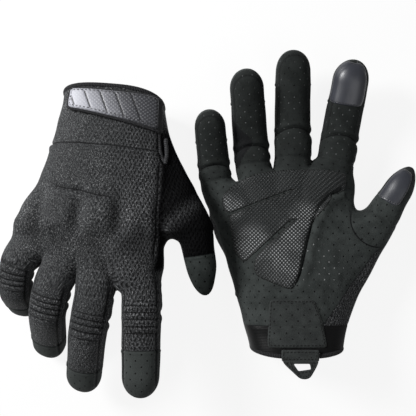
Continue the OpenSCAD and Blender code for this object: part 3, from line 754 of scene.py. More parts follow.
class Skin:
    """The outside of one glove: its surface, and where on the glove each point of it lies."""

    def __init__(self, glove):
        self.glove = glove
        self.shape()
        self.place()
        self.cut()
        self.fields = self.regions()
        self.seams()
        self.shade = self.darkened()
        self.points = self.base + self.flat_normal * self.relief()[:, None]
        self.normal = normals_of(self.points, self.quads)
        self.tree = BVHTree.FromPolygons(self.points.tolist(), self.quads.tolist())

    def shape(self):
        ends = [finger + "_tip" for finger in (*FINGERS, "thumb")]
        corners = np.concatenate([self.glove.node_points(node) for node in (*HAND_NODES, *ends)])
        low = corners.min(0) - 8
        low[1] = -8 * VOXEL
        field = sampled_field(self.glove.distance, low, corners.max(0) + 8)
        vertices, quads = surface_net(field, low)
        vertices = smoothed(vertices, edges_of(quads), 8)
        past_rim = vertices[:, 1] - self.rim_height(vertices)
        quads = quads[past_rim[quads].mean(1) > 0]
        used, quads = np.unique(quads, return_inverse=True)
        self.quads = quads.reshape(-1, 4)
        self.base = vertices[used]
        rim = np.unique(rim_edges(self.quads))
        self.base[rim, 1] = self.rim_height(self.base[rim])
        self.flat_normal = normals_of(self.base, self.quads)

    def rim_height(self, points):
        """Where the cuff's edge runs: it is cut back at the sides and can slant."""
        share = points[:, 2] / self.glove.half_t[0]
        which = GLOVES.index(self.glove.name)
        rise = RIM_RISES[which] * np.clip(-share, 0, 1)
        low, high = RIM_CUTS[which]
        cut = low + (high - low) * smooth_step(-0.7, 0.7, points[:, 0] / self.glove.wrist_half)
        return cut * np.clip(1 - share ** 2, 0, 1) + RIM_SLANTS[which] * points[:, 0] - rise

    def place(self):
        """Where each point lies: which stall, how far along and across it, and on the back or the palm."""
        glove = self.glove
        where = np.array([stall.locate(self.base) for stall in glove.fingers])
        gaps = np.array([stall.gap(*place) for stall, place in zip(glove.fingers, where)])
        self.finger = gaps.argmin(0)
        each = np.arange(len(self.base))
        self.s, self.across, self.up = where[self.finger, :, each].T
        self.on_finger = np.where(gaps.min(0) < 3, smooth_step(*FINGER_STARTS, self.s), 0)
        self.thumb_s, self.thumb_across, self.thumb_up = glove.thumb.locate(self.base)
        thumb_gap = glove.thumb.gap(self.thumb_s, self.thumb_across, self.thumb_up)
        near = smooth_step(6, 2, thumb_gap) * (self.on_finger < 0.5)
        self.on_thumb = near * smooth_step(*THUMB_STARTS, self.thumb_s)
        x, y, z = self.base.T
        middle, _, half_t = glove.hand_section(y)
        finger_w = self.of_finger("half_w")
        finger_t = self.of_finger("half_t")
        thumb_w, thumb_t = glove.thumb.half_w, glove.thumb.half_t
        self.back = self.shared(-z / half_t, -self.up / finger_t, -self.thumb_up / thumb_t)
        drop = np.sign(x - middle) * np.clip(half_t - np.abs(z), 0, None)
        finger_drop = self.drop(self.across / finger_w, finger_t - np.abs(self.up))
        thumb_drop = self.drop(self.thumb_across / thumb_w, thumb_t - np.abs(self.thumb_up))
        root = glove.roots[self.finger]
        self.u = self.shared(x + drop, root[:, 0] + self.across + finger_drop, x + thumb_drop)
        self.v = self.shared(y, root[:, 1] + self.s, y)

    def drop(self, across, depth):
        """How much longer a stall's cloth is at a place across it, because it goes down round the side."""
        return np.sign(across) * smooth_step(0.1, 0.9, np.abs(across)) * np.clip(depth, 0, None)

    def of_finger(self, size):
        """A size of the finger that each point is nearest to."""
        return np.array([getattr(stall, size) for stall in self.glove.fingers])[self.finger]

    def shared(self, hand, finger, thumb):
        """A value taken from the hand, the finger or the thumb that each point belongs to."""
        value = hand + self.on_finger * (finger - hand)
        return value + self.on_thumb * (thumb - value)

    def cut(self):
        """Which piece each face belongs to: the hand, a finger's base or tip, or the thumb's tip."""
        pairs = edges_of(self.quads)
        apart = pairs[self.finger[pairs[:, 0]] != self.finger[pairs[:, 1]]].ravel()
        apart = apart[self.on_finger[apart] > 0]
        self.starts = []
        self.cuts = []
        for i in range(len(FINGERS)):
            self.starts.append(self.s[apart[self.finger[apart] == i]].max() + 1)
            self.cuts.append(FINGER_CUT * self.glove.joint_at[i])
        corner_s = self.s[self.quads].mean(1)
        finger = self.finger[self.quads[:, 0]]
        on = self.on_finger[self.quads].min(1) > 0
        self.piece = np.full(len(self.quads), HAND_PIECE)
        for i in range(len(FINGERS)):
            mine = on & (finger == i)
            self.piece[mine & (corner_s > self.starts[i])] = BASE_PIECE + i
            self.piece[mine & (corner_s > self.cuts[i])] = TIP_PIECE + i
        thumb = self.on_thumb[self.quads].min(1) > 0.5
        self.piece[thumb & (self.thumb_s[self.quads].mean(1) > THUMB_CUT)] = THUMB_PIECE

    def regions(self):
        """How far inside the suede, the elastic band and a fingertip's cap each point lies."""
        x, y, z = self.base.T
        line = unit(np.subtract(KNIT_TO, KNIT_FROM))
        inside = (x - KNIT_FROM[0]) * -line[1] + (y - KNIT_FROM[1]) * line[0]
        hand = np.minimum(z + 2, inside)
        self.cap = self.s - self.of_finger("length") + np.array(CAPS)[self.finger]
        self.thumb_cap = self.thumb_s - self.glove.thumb.length + THUMB_CAP
        finger = np.maximum(self.up + 0.3 * self.of_finger("half_t"), self.cap)
        thumb = np.maximum(self.thumb_up + 2, self.thumb_cap)
        suede = self.shared(hand, finger, thumb)
        band = np.minimum(z + 3, BAND_TOP - y)
        cap = np.where((self.on_finger > 0.5) & (self.back > -0.2), self.cap, -20)
        return np.column_stack([suede, band, cap])

    def seams(self):
        """Signed distances to three kinds of sewn lines and folds, and how strongly each of them shows."""
        self.on_back = smooth_step(-0.05, 0.25, self.back)
        self.on_palm = smooth_step(-0.05, 0.25, -self.back)
        self.on_hand = smooth_step(0.5, 0.2, self.on_finger) * (1 - self.on_thumb)
        self.on_stall = smooth_step(0.5, 0.9, self.on_finger)
        self.off_middle = np.abs(self.across) / self.of_finger("half_w")
        self.finger_seam = np.abs(self.across) - BACK_SEAM * self.of_finger("half_w")
        pairs = [self.back_seams(), self.folds(), self.rounds()]
        self.lines, self.shown = (np.column_stack(columns) for columns in zip(*pairs))

    def back_seams(self):
        """The cuff's seam and the side seam of the back, and the seams along the fingers."""
        x, y = self.base.T[:2]
        cuff = y - CUFF_SEAM - CUFF_SLANT * x
        near_cuff = cuff < 6
        side_shown = smooth_step(SLIT_TO[1], SLIT_TO[1] + 3, y) * smooth_step(*SIDE_SEAM_ENDS, y)
        cuff_shown = smooth_step(SIDE_SEAM - 1, SIDE_SEAM - 2.5, x)
        shown = np.where(near_cuff, cuff_shown, side_shown) * self.on_back * self.on_hand
        line = np.where(near_cuff, cuff, x - SIDE_SEAM)
        finger_shown = smooth_step(-0.15, 0.05, self.back) * self.on_stall
        finger = self.on_finger > 0.5
        return np.where(finger, self.finger_seam, line), np.where(finger, finger_shown, shown)

    def folds(self):
        """The back's fold and the palm's gusset seam, and the pleats and creases of the fingers; folds, pleats and
        creases get painted shade.
        """
        x, y = self.base.T[:2]
        fold = y - BACK_FOLD - FOLD_SLANT * x + 0.4 * np.sin(0.3 * x)
        fold_shown = smooth_step(*FOLD_ENDS[0], x) * smooth_step(*FOLD_ENDS[1], x) * self.on_back
        gusset, along = line_distance(x, y, GUSSET)
        gusset_shown = smooth_step(0, 0.02, along) * smooth_step(1, 0.98, along) * self.on_palm
        self.crease = self.s - np.array(CREASES)[self.finger] + CREASE_BOW * self.across ** 2
        crease_shown = self.on_palm * smooth_step(1.0, 0.7, self.off_middle) * self.on_stall
        flex = np.array(self.glove.flex) + np.array(PLEAT_SHIFTS)[:, None]
        first, last = flex[self.finger].T
        self.rows = PLEATS * (self.s - first) / (last - first)
        valley = (self.rows - np.round(self.rows)) * (last - first) / PLEATS
        self.pleated = smooth_step(-0.3, 0, self.rows) * smooth_step(PLEATS + 0.3, PLEATS, self.rows)
        self.pleated *= self.on_stall * self.on_back * smooth_step(0.88, 0.76, self.off_middle)
        back = self.back > 0
        finger = self.on_finger > 0.5
        line = np.where(finger, np.where(back, valley, self.crease), np.where(back, fold, gusset))
        hand_shown = np.where(back, fold_shown, gusset_shown) * self.on_hand
        return line, np.where(finger, np.where(back, self.pleated, crease_shown), hand_shown)

    def rounds(self):
        """The round seam at the thumb's root and the stitches round the fingertips, on the palm side."""
        x, y = self.base.T[:2]
        seam = np.hypot(x - THUMB_SEAM_AT[0], y - THUMB_SEAM_AT[1]) - THUMB_SEAM
        shown = self.on_palm * (1 - self.on_finger)
        for ends, value in zip(THUMB_SEAM_ENDS, (x, y)):
            shown = shown * smooth_step(*ends, value)
        past = np.clip(self.s - self.of_finger("straight"), 0, None) / self.of_finger("end")
        stitch = (np.hypot(self.off_middle, past) - TIP_STITCH) * self.of_finger("half_w")
        stitch_shown = 0.55 * self.on_palm * self.on_stall * smooth_step(2, 8, self.crease)
        finger = self.on_finger > 0.5
        return np.where(finger, stitch, seam), np.where(finger, stitch_shown, shown)

    def darkened(self):
        """Where painted shade darkens the skin: in the slit, on the fingers' side walls, beside the thumb, in hollows.
        """
        x, y = self.base.T[:2]
        off, along = line_distance(x, y, (SLIT_FROM, SLIT_TO))
        inside = SLIT_HALF * np.sqrt(np.clip(np.sin(np.pi * along), 0, 1)) - np.abs(off)
        self.slit = smooth_step(-0.6, 0.8, inside) * smooth_step(0, 0.15, self.back) * self.on_hand
        wall = self.on_stall * smooth_step(0.3, 0.05, self.back) * smooth_step(-0.45, -0.15, self.back)
        wall *= smooth_step(0.8, 0.95, self.off_middle) * smooth_step(3, 12, self.s)
        wall *= smooth_step(0, -6, self.s - self.of_finger("straight") + 8)
        if self.glove.name == GLOVES[1]:
            reach = 0.95 - bump(self.s - RING_WALL_AT, RING_WALL_REACH)
            shows = smooth_step(reach - 0.05, reach + 0.05, -self.across / self.of_finger("half_w"))
            on_ring = self.on_stall * (self.finger == FINGERS.index("ring")) * (self.s > 2)
            wall = np.maximum(wall, shows * on_ring)
        beside = smooth_step(SIDE_SEAM - 1.5, SIDE_SEAM + 2.5, x) * self.on_hand
        dim = self.on_back * np.maximum(beside, self.on_thumb) * smooth_step(BAND_TOP, BAND_TOP + 12, y)
        for hollow_x, hollow_y in HOLLOWS:
            hollow = bump(x - hollow_x, HOLLOW_HALF[0]) * bump(y - hollow_y, HOLLOW_HALF[1])
            dim = np.maximum(dim, HOLLOW_DARK * hollow * self.on_back * self.on_hand)
        return np.column_stack([self.slit, wall, dim])

    def relief(self):
        """How far each point stands out, in millimetres, for pleats, seams, creases and padding."""
        x, y = self.base.T[:2]
        folds = np.sin(0.23 * x + 0.16 * y + 1.4 * np.sin(0.06 * y))
        folds += np.sin(0.13 * x - 0.29 * y + 0.9 * np.sin(0.08 * x))
        drape = 0.16 * folds * (1 - 0.5 * self.on_finger)
        return self.finger_relief() + self.thumb_relief() + self.hand_relief() + drape

    def finger_relief(self):
        rows = np.clip(self.rows, 0, PLEATS)
        ridge = np.abs(np.sin(np.pi * rows)) ** 0.7
        pucker = PUCKER * np.sin(2 * np.pi * self.across / PUCKER_PITCH + 1.9 * np.round(rows)) * (1 - ridge)
        out = self.pleated * (PLEAT_HEIGHT * ridge + pucker - PLEAT_SINK)
        sides = self.on_finger * smooth_step(-0.15, 0.1, self.back) * (self.cap < 0)
        out += sides * stitched(self.finger_seam, *FINGER_SEAM)
        out += self.on_finger * smooth_step(-0.3, 0, self.back) * stitched(self.cap, *CAP_SEAM)
        palm = self.on_finger * smooth_step(-0.2, 0.2, -self.back)
        out += palm * (stitched(self.crease, *FINGER_CREASE) + 0.6 * bump(self.crease + 5, 3))
        out -= palm * 1.1 * bump(self.s - ROOT_CREASE, 1.4)
        return out - 0.45 * self.shown[:, 2] * bump(self.lines[:, 2], 0.8)

    def thumb_relief(self):
        back = smooth_step(0.1, 0.45, self.back)
        palm = smooth_step(0.1, 0.45, -self.back)
        return self.on_thumb * (back * stitched(self.thumb_cap, *CAP_SEAM) - palm * bump(self.thumb_s, 2.5))

    def hand_relief(self):
        x, y = self.base.T[:2]
        back = smooth_step(0.1, 0.45, self.back)
        palm = smooth_step(0.1, 0.45, -self.back)
        guard = self.glove.node_points("knuckle_guard")
        past = y - (guard[:, 1].max() + guard[:, 1].min()) / 2
        crown = KNUCKLE_HEIGHT * smooth_step(*KNUCKLE_RISE, past) * smooth_step(*KNUCKLE_FALL, past)
        out = np.zeros(len(x))
        for root in self.glove.roots:
            out += back * crown * np.exp(-((x - KNUCKLE_AT * root[0]) / KNUCKLE_HALF) ** 4)
        out += self.shown[:, 0] * stitched(self.lines[:, 0], *HAND_SEAM)
        out += self.shown[:, 1] * stitched(self.lines[:, 1], *HAND_FOLD)
        out -= palm * 0.5 * bump(y - BAND_TOP, 0.8)
        return (1 - self.on_finger) * (1 - self.on_thumb) * out - SLIT_DEPTH * self.slit


class Shader:
    """A material's nodes, built by short calls. Numbers, colours and sockets can all be inputs."""

    def __init__(self, name):
        self.material = bpy.data.materials.new(name)
        self.material.use_nodes = True
        self.tree = self.material.node_tree
        self.tree.nodes.clear()
        self.output = self.tree.nodes.new("ShaderNodeOutputMaterial")
        self.surface = self.tree.nodes.new("ShaderNodeBsdfPrincipled")
        self.tree.links.new(self.surface.outputs[0], self.output.inputs[0])

    def node(self, kind, inputs=(), **settings):
        node = self.tree.nodes.new("ShaderNode" + kind)
        for key, value in settings.items():
            setattr(node, key, value)
        for key, value in dict(inputs).items():
            self.put(node.inputs[key], value)
        return node

    def put(self, socket, value):
        if isinstance(value, bpy.types.NodeSocket):
            self.tree.links.new(value, socket)
        elif isinstance(value, (tuple, list)) and len(value) == 3 and socket.type == "RGBA":
            socket.default_value = (*value, 1)
        else:
            socket.default_value = value

    def set(self, **inputs):
        """Put values on the surface's sockets, whose names have spaces for the underscores here."""
        for key, value in inputs.items():
            self.put(self.surface.inputs[key.replace("_", " ")], value)

    def math(self, operation, a, b=0.0):
        return self.node("Math", {0: a, 1: b}, operation=operation).outputs[0]

    def plus(self, a, b):
        return self.math("ADD", a, b)

    def minus(self, a, b):
        return self.math("SUBTRACT", a, b)

    def times(self, a, b):
        return self.math("MULTIPLY", a, b)

    def most(self, a, b):
        return self.math("MAXIMUM", a, b)

    def size(self, a):
        return self.math("ABSOLUTE", a)

    def attribute(self, name):
        """The three numbers of a field that the mesh carries."""
        split = self.node("SeparateXYZ", {0: self.node("Attribute", attribute_name=name).outputs["Vector"]})
        return split.outputs

    def range(self, value, low, high, to_low=0.0, to_high=1.0):
        inputs = {"Value": value, "From Min": low, "From Max": high, "To Min": to_low, "To Max": to_high}
        return self.node("MapRange", inputs, interpolation_type="SMOOTHSTEP").outputs[0]

    def mix(self, factor, a, b):
        """A colour between two, on the sockets that the node has for colours."""
        return self.node("Mix", {0: factor, 6: a, 7: b}, data_type="RGBA").outputs[2]

    def blend(self, factor, a, b):
        """A number between two."""
        return self.node("Mix", {0: factor, 2: a, 3: b}, data_type="FLOAT").outputs[0]

    def noise(self, vector, scale, detail=3.0):
        return self.node("TexNoise", {"Vector": vector, "Scale": scale, "Detail": detail}).outputs[0]

    def bump(self, height, distance, strength):
        inputs = {"Height": height, "Distance": distance, "Strength": strength}
        return self.node("Bump", inputs).outputs[0]

    def waves(self, value, period):
        return self.math("COSINE", self.times(value, 2 * math.pi / period))

    def spots(self, u, v, period, shift=0.0):
        """Distance to the nearest of two crossed rows of points, a period apart, that start at a shift."""
        if shift:
            u = self.plus(u, shift)
            v = self.plus(v, shift)
        half = period / 2
        a = self.math("PINGPONG", u, half)
        b = self.math("PINGPONG", v, half)
        near = self.length(a, b)
        far = self.length(self.minus(half, a), self.minus(half, b))
        return self.math("MINIMUM", near, far)

    def length(self, a, b):
        square = self.plus(self.times(a, a), self.times(b, b))
        return self.math("SQRT", square)

    def joined(self, x, y, z=0.0):
        return self.node("CombineXYZ", {0: x, 1: y, 2: z}).outputs[0]


def skin_material():
    """Mesh knit on the back, perforated suede on the palm and fingertips, elastic at the wrist; shade is painted in
    hollows, folds, the slit and beside the thumb.
    """
    shader = Shader("glove_skin")
    u, v, depth = shader.attribute("grain")
    suede_in, band_in, cap_in = shader.attribute("regions")
    lines = shader.attribute("seams")
    shown = shader.attribute("shown")
    slit, wall, dim = shader.attribute("shade")
    flat = shader.joined(u, v, depth)
    suede = shader.range(suede_in, -0.2, 0.2)
    band = shader.range(band_in, -0.2, 0.2)
    knit, knit_height = knit_cloth(shader, u, v, depth, flat)
    # Painted shade: the knit darkens to near black on the back beside the thumb and over the thumb, and less in the
    # hollows by the knuckles.
    knit = shader.mix(shader.times(dim, 0.95), knit, (0.002, 0.002, 0.0022))
    nap, nap_height = suede_cloth(shader, u, v, flat, cap_in)
    ribs = shader.waves(v, 1.1)
    rib = shader.range(ribs, -1, 1, 0.0, 0.5)
    elastic = shader.mix(rib, (0.002, 0.0021, 0.0022), (0.005, 0.0052, 0.0054))
    colour = shader.mix(suede, knit, nap)
    colour = shader.mix(band, colour, elastic)
    height = shader.blend(suede, knit_height, nap_height)
    height = shader.blend(band, height, shader.times(ribs, 0.04))
    # Dark lines: the panels' edges and the seams are dark stitched joints; the back's fold, the pleats' valleys and
    # the palm's creases are painted shade.
    groove = shader.range(shader.size(suede_in), 0.7, 0.25, 0.0, 0.6)
    groove = shader.most(groove, shader.range(shader.size(band_in), 0.6, 0.25, 0.0, 0.6))
    for line, strength in zip(lines, shown):
        dark = shader.range(shader.size(line), 0.75, 0.25)
        groove = shader.most(groove, shader.times(dark, strength))
    colour = shader.mix(shader.times(groove, 0.9), colour, (0.0025, 0.0025, 0.003))
    beside = shader.range(shader.size(shader.plus(lines[0], 1.3)), 0.45, 0.15)
    dashes = shader.range(shader.waves(shader.plus(u, v), 2.4), -0.4, 0.2)
    thread = shader.times(shader.times(beside, shown[0]), dashes)
    colour = shader.mix(shader.times(thread, 0.45), colour, (0.1, 0.102, 0.105))
    # Painted shade on the fingers' side walls, widest on the palm-up glove's ring finger.
    colour = shader.mix(shader.times(wall, 0.8), colour, (0.004, 0.004, 0.005))
    # Painted shade in the slit beside the strap.
    colour = shader.mix(shader.times(slit, 0.92), colour, (0.003, 0.003, 0.004))
    shader.set(Base_Color=colour, Normal=shader.bump(height, 0.0006, 0.9))
    shader.set(Roughness=shader.blend(suede, 0.7, shader.blend(band, 0.85, 0.5)))
    # Where shade is painted, the specular and the sheen drop as well.
    shader.set(Specular_IOR_Level=shader.blend(dim, 0.15, 0.02), Sheen_Weight=shader.blend(dim, 0.02, 0.0))
    shader.set(Sheen_Roughness=0.5)
    shader.surface.inputs["Sheen Tint"].default_value = (0.8, 0.84, 0.86, 1)
    return shader.material


def knit_cloth(shader, u, v, depth, flat):
    """Colour and height of an open mesh knit: staggered holes, twisted yarn and bright flecks."""
    drift = shader.times(shader.noise(flat, 0.3), 2.2)
    hole_u = shader.plus(shader.plus(u, 400.0), drift)
    hole_v = shader.times(shader.minus(shader.plus(v, 400.0), drift), 0.56)
    hole = shader.range(shader.spots(hole_u, hole_v, 3.1), 0.85, 0.35)
    hole = shader.times(hole, shader.range(u, -30, 32, 0.2, 0.95))
    twist = shader.joined(shader.times(u, 1.7), shader.times(v, 0.8), depth)
    strand = shader.noise(twist, 1.15, 2.0)
    fleck = shader.range(strand, 0.56, 0.7)
    knit_wear_and_strap_painted_sheen = shader.noise(flat, 0.035, 3.0)
    yarn = shader.mix(shader.range(strand, 0.32, 0.58), (0.0035, 0.0037, 0.0042), (0.047, 0.049, 0.051))
    fleck = shader.times(fleck, shader.range(knit_wear_and_strap_painted_sheen, 0.35, 0.65, 0.35, 1.0))
    yarn = shader.mix(fleck, yarn, (0.26, 0.264, 0.27))
    colour = shader.mix(hole, yarn, (0.0035, 0.0036, 0.004))
    return colour, shader.minus(strand, hole)


def suede_cloth(shader, u, v, flat, cap_in):
    """Colour and height of napped suede with small round perforations, with painted shade along the fingers and
    painted highlights in some holes.
    """
    mottle = shader.noise(flat, 0.12, 4.0)
    fibre = shader.noise(flat, 1.6, 3.0)
    nap = shader.mix(shader.range(mottle, 0.35, 0.65), (0.021, 0.0246, 0.0236), (0.036, 0.0415, 0.04))
    nap = shader.mix(shader.range(fibre, 0.4, 0.75, 0.0, 0.6), nap, (0.045, 0.05, 0.0485))
    # Painted shade: the suede darkens from the palm out along the fingers.
    nap = shader.mix(shader.range(v, 112, 150, 0.0, 0.6), nap, (0.003, 0.0036, 0.0034))
    spot = shader.spots(u, v, HOLE_PITCH, 400.0)
    nap = shader.mix(shader.range(cap_in, -0.3, 0.3, 0.0, 0.3), nap, (0.085, 0.095, 0.092))
    pierced = shader.range(spot, 0.7, 0.36)
    # Painted highlights: some perforations turn pale round the thumb's ball and along the fingers, fainter along the
    # fingers.
    ball = shader.length(shader.minus(u, BALL_AT[0]), shader.minus(v, BALL_AT[1]))
    painted_hole_glint = shader.most(shader.range(ball, 24, 15), shader.range(v, 138, 146))
    painted_hole_glint = shader.times(painted_hole_glint, shader.range(shader.noise(flat, 0.06, 1.0), 0.42, 0.54))
    painted_hole_glint = shader.times(painted_hole_glint, shader.range(cap_in, 2.0, -1.0))
    glint = shader.mix(shader.range(v, 100, 138), (0.21, 0.216, 0.216), (0.085, 0.09, 0.09))
    pinhole = shader.mix(painted_hole_glint, (0.002, 0.002, 0.002), glint)
    nap = shader.mix(pierced, nap, pinhole)
    return nap, shader.minus(shader.times(fibre, 0.5), pierced)


def add_piece(name, vertices, faces, material, fields=None, normals=None):
    """A smooth mesh object from vertices in metres, with fields of three numbers for its material."""
    mesh = bpy.data.meshes.new(name)
    mesh.from_pydata(np.asarray(vertices).tolist(), [], [list(face) for face in faces])
    mesh.shade_smooth()
    for key, values in (fields or {}).items():
        layer = mesh.attributes.new(key, "FLOAT_VECTOR", "POINT")
        layer.data.foreach_set("vector", np.asarray(values, np.float32).ravel())
    if normals is not None:
        mesh.normals_split_custom_set_from_vertices(np.asarray(normals).tolist())
    mesh.materials.append(material)
    piece = bpy.data.objects.new(name, mesh)
    bpy.context.scene.collection.objects.link(piece)
    return piece


def inside_of(points, outline):
    """Which points lie inside a closed outline."""
    x, y = points.T
    inside = np.zeros(len(points), bool)
    for a, b in zip(outline, np.roll(outline, -1, 0)):
        crosses = (a[1] > y) != (b[1] > y)
        inside ^= crosses & (x < a[0] + (y - a[1]) * (b[0] - a[0]) / (b[1] - a[1] + 1e-12))
    return inside


def rounded(corners, radius, steps=6):
    """A closed outline whose corners are curves that start this far from each corner."""
    corners = np.asarray(corners, float)
    points = []
    for before, corner, after in zip(np.roll(corners, 1, 0), corners, np.roll(corners, -1, 0)):
        a = corner + (before - corner) * min(0.45, radius / np.linalg.norm(before - corner))
        b = corner + (after - corner) * min(0.45, radius / np.linalg.norm(after - corner))
        for t in np.linspace(0, 1, steps):
            points.append((1 - t) ** 2 * a + 2 * t * (1 - t) * corner + t ** 2 * b)
    return np.array(points)


class Pattern:
    """A flat cut piece: points, triangles, depth of each point from the edge and its way round the edge."""

    def __init__(self, outline, step, hole=None):
        loops = []
        for loop in (outline,) if hole is None else (outline, hole):
            length = run_along(np.vstack([loop, loop[:1]]))[-1]
            loops.append(resampled(loop, max(8, int(length / step))))
        low, high = loops[0].min(0), loops[0].max(0)
        rows = np.arange(low[1], high[1], 0.87 * step)
        columns = np.arange(low[0], high[0], step)
        grid = np.array([(x + 0.5 * step * (k % 2), y) for k, y in enumerate(rows) for x in columns])
        grid = grid[self.within(grid, loops)]
        grid = grid[self.depths(grid, loops)[0] > 0.6 * step]
        edges = []
        count = 0
        for loop in loops:
            edges += [(count + k, count + (k + 1) % len(loop)) for k in range(len(loop))]
            count += len(loop)
        points = [Vector(p) for p in np.concatenate(loops + [grid])]
        found = delaunay_2d_cdt(points, edges, [], 0, 1e-5)
        self.points = np.array(found[0])
        triangles = np.array([face for face in found[2] if len(face) == 3])
        self.triangles = triangles[self.within(self.points[triangles].mean(1), loops)]
        self.depth, self.along = self.depths(self.points, loops)

    def within(self, points, loops):
        inside = inside_of(points, loops[0])
        for hole in loops[1:]:
            inside &= ~inside_of(points, hole)
        return inside

    def depths(self, points, loops):
        depth = np.full(len(points), 1e9)
        along = np.zeros(len(points))
        for loop in loops:
            closed = np.vstack([loop, loop[:1]])
            d, share = line_distance(*points.T, closed)
            nearer = np.abs(d) < depth
            along = np.where(nearer, share * run_along(closed)[-1], along)
            depth = np.minimum(depth, np.abs(d))
        return depth, along


def on_palm(skin):
    """A seat on the palm, for points across and along the hand."""
    def seat(flat):
        hits = [skin.tree.ray_cast(Vector((x, y, CAST_FROM)), Vector((0, 0, -1))) for x, y in flat]
        return seated(skin, hits)
    return seat


def on_stall(skin, stall):
    """A seat round a stall, for points round it from the palm side and along it."""
    def seat(flat):
        hits = []
        for u, s in flat:
            centre, tangent, palm = stall.at(min(s, stall.straight))
            turn = u / (0.5 * (stall.half_w + stall.half_t))
            tilt = 1.35 * max(0, s - stall.straight) / stall.end
            way = stall.side * math.sin(turn) + palm * math.cos(turn)
            way = way * math.cos(tilt) + tangent * math.sin(tilt)
            hits.append(skin.tree.ray_cast(Vector(centre), Vector(way)))
        return seated(skin, hits)
    return seat


def seated(skin, hits):
    """Points where rays hit the skin, and its normals there."""
    points = np.array([hit[0] for hit in hits])
    normals = np.array([unit(skin.normal[skin.quads[hit[2]]].mean(0)) for hit in hits])
    return points, normals


def on_wrist(glove, off):
    """A seat over the back of the wrist, this far out, for points across and along the hand."""
    def seat(flat):
        x, y = flat.T
        middle, half_w, half_t = glove.hand_section(y)
        f = np.clip((x - middle) / half_w, -0.995, 0.995)
        arch = (1 - np.abs(f) ** HAND_POWER) ** (1 / HAND_POWER)
        points = np.column_stack([middle + (half_w + off) * f, y, -(half_t + off) * arch])
        slope = np.sign(f) * np.abs(f) ** (HAND_POWER - 1) / half_w
        normals = np.column_stack([slope, 0 * f, -arch ** (HAND_POWER - 1) / half_t])
        return points, units(normals)
    return seat


def on_loop(glove):
    """A flat seat that leaves the pull loop's hinge, in the middle of the band's thickness."""
    hinge, axis = glove.hinge("loop")[:2]
    middle = glove.node_points("pull_loop").mean(0) - hinge
    away = unit(middle - axis * (middle @ axis))
    normal = np.cross(away, axis)

    def seat(flat):
        points = hinge - flat[:, :1] * axis + flat[:, 1:] * away
        return points, np.tile(normal, (len(flat), 1))
    return seat


def on_rim(glove):
    """A seat over the palm side of the cuff's edge, at the height of the pull loop's hinge."""
    height = glove.hinge("loop")[0][2] - 0.2

    def seat(flat):
        x, y = flat.T
        points = np.column_stack([x, y, np.full(len(flat), height)])
        return points, np.tile(UP, (len(flat), 1))
    return seat


def edge_wall(faces, count):
    """Faces that join a sheet's open edges to those of its copy, whose vertices come this many later."""
    rim = rim_edges(faces)
    return np.column_stack([rim[:, 1], rim[:, 0], rim[:, 0] + count, rim[:, 1] + count])


def pad(glove, name, pattern, seat, material, height, edge, sink, relief=None):
    """A cut piece laid on a seat: a closed sheet with a rounded edge and its underside below the seat."""
    points, normals = seat(pattern.points)
    lift = height * np.sqrt(1 - (1 - np.clip(pattern.depth / edge, 0, 1)) ** 2)
    if relief is not None:
        lift = lift + relief(*pattern.points.T) * np.clip(pattern.depth / edge, 0, 1)
    triangles = pattern.triangles
    a, b, c = (points[triangles[:, k]] for k in range(3))
    if (np.cross(b - a, c - a) * normals[triangles[:, 0]]).sum() < 0:
        triangles = triangles[:, ::-1]
    count = len(points)
    wall = edge_wall(triangles, count)
    vertices = np.concatenate([points + normals * lift[:, None], points - sink * normals])
    faces = triangles.tolist() + (triangles[:, ::-1] + count).tolist() + wall.tolist()
    grain = np.column_stack([pattern.points, np.zeros(count)])
    border = np.column_stack([pattern.depth, pattern.along, np.zeros(count)])
    fields = {"grain": np.tile(grain, (2, 1)), "border": np.tile(border, (2, 1))}
    return add_piece(glove.name + name, glove.world(vertices), faces, material, fields)


def tube(glove, name, path, out, half_out, half_wide, closed, material, sides=12):
    """A cord swept along a path; out is the direction of its first half width at each point."""
    ahead = np.roll(path, -1, 0) - np.roll(path, 1, 0)
    if not closed:
        ahead = np.gradient(path, axis=0)
    ahead = units(ahead)
    out = units(out - ahead * (out * ahead).sum(1)[:, None])
    wide = np.cross(ahead, out)
    turns = 2 * np.pi * np.arange(sides) / sides
    shrink = np.ones(len(path))
    if not closed:
        end = np.minimum(np.arange(len(path)), np.arange(len(path))[::-1])
        shrink = np.sqrt(np.clip(1 - (1 - (end + 0.15) / 3).clip(0, 1) ** 2, 0.02, 1))
    across = half_wide * np.sin(turns)[:, None] * wide[:, None]
    ring = half_out * np.cos(turns)[:, None] * out[:, None] + across
    vertices = (path[:, None] + shrink[:, None, None] * ring).reshape(-1, 3)
    count = len(path)
    rows = np.arange(count if closed else count - 1)[:, None]
    k = np.arange(sides)[None, :]
    first = rows * sides + k
    second = rows * sides + (k + 1) % sides
    third = (rows + 1) % count * sides + (k + 1) % sides
    fourth = (rows + 1) % count * sides + k
    faces = np.stack([first, second, third, fourth], -1).reshape(-1, 4).tolist()
    if not closed:
        faces.append(list(range(sides))[::-1])
        faces.append(list(range((count - 1) * sides, count * sides)))
    s = np.repeat(run_along(path), sides)
    grain = np.column_stack([s, np.tile(turns * half_wide, count), np.zeros(count * sides)])
    return add_piece(glove.name + name, glove.world(vertices), faces, material, {"grain": grain})


def dashed(shader, depth, along, row, width, period):
    """A row of stitches this deep inside an edge."""
    near = shader.range(shader.size(shader.minus(depth, row)), width, 0.4 * width)
    return shader.times(near, shader.range(shader.waves(along, period), -0.5, 0.1))


def cut_cloth(name):
    """A shader for a cut piece, with the place on it, the depth from its edge and the way along its edge."""
    shader = Shader(name)
    u, v = shader.attribute("grain")[:2]
    depth, along = shader.attribute("border")[:2]
    return shader, u, v, shader.joined(u, v), depth, along


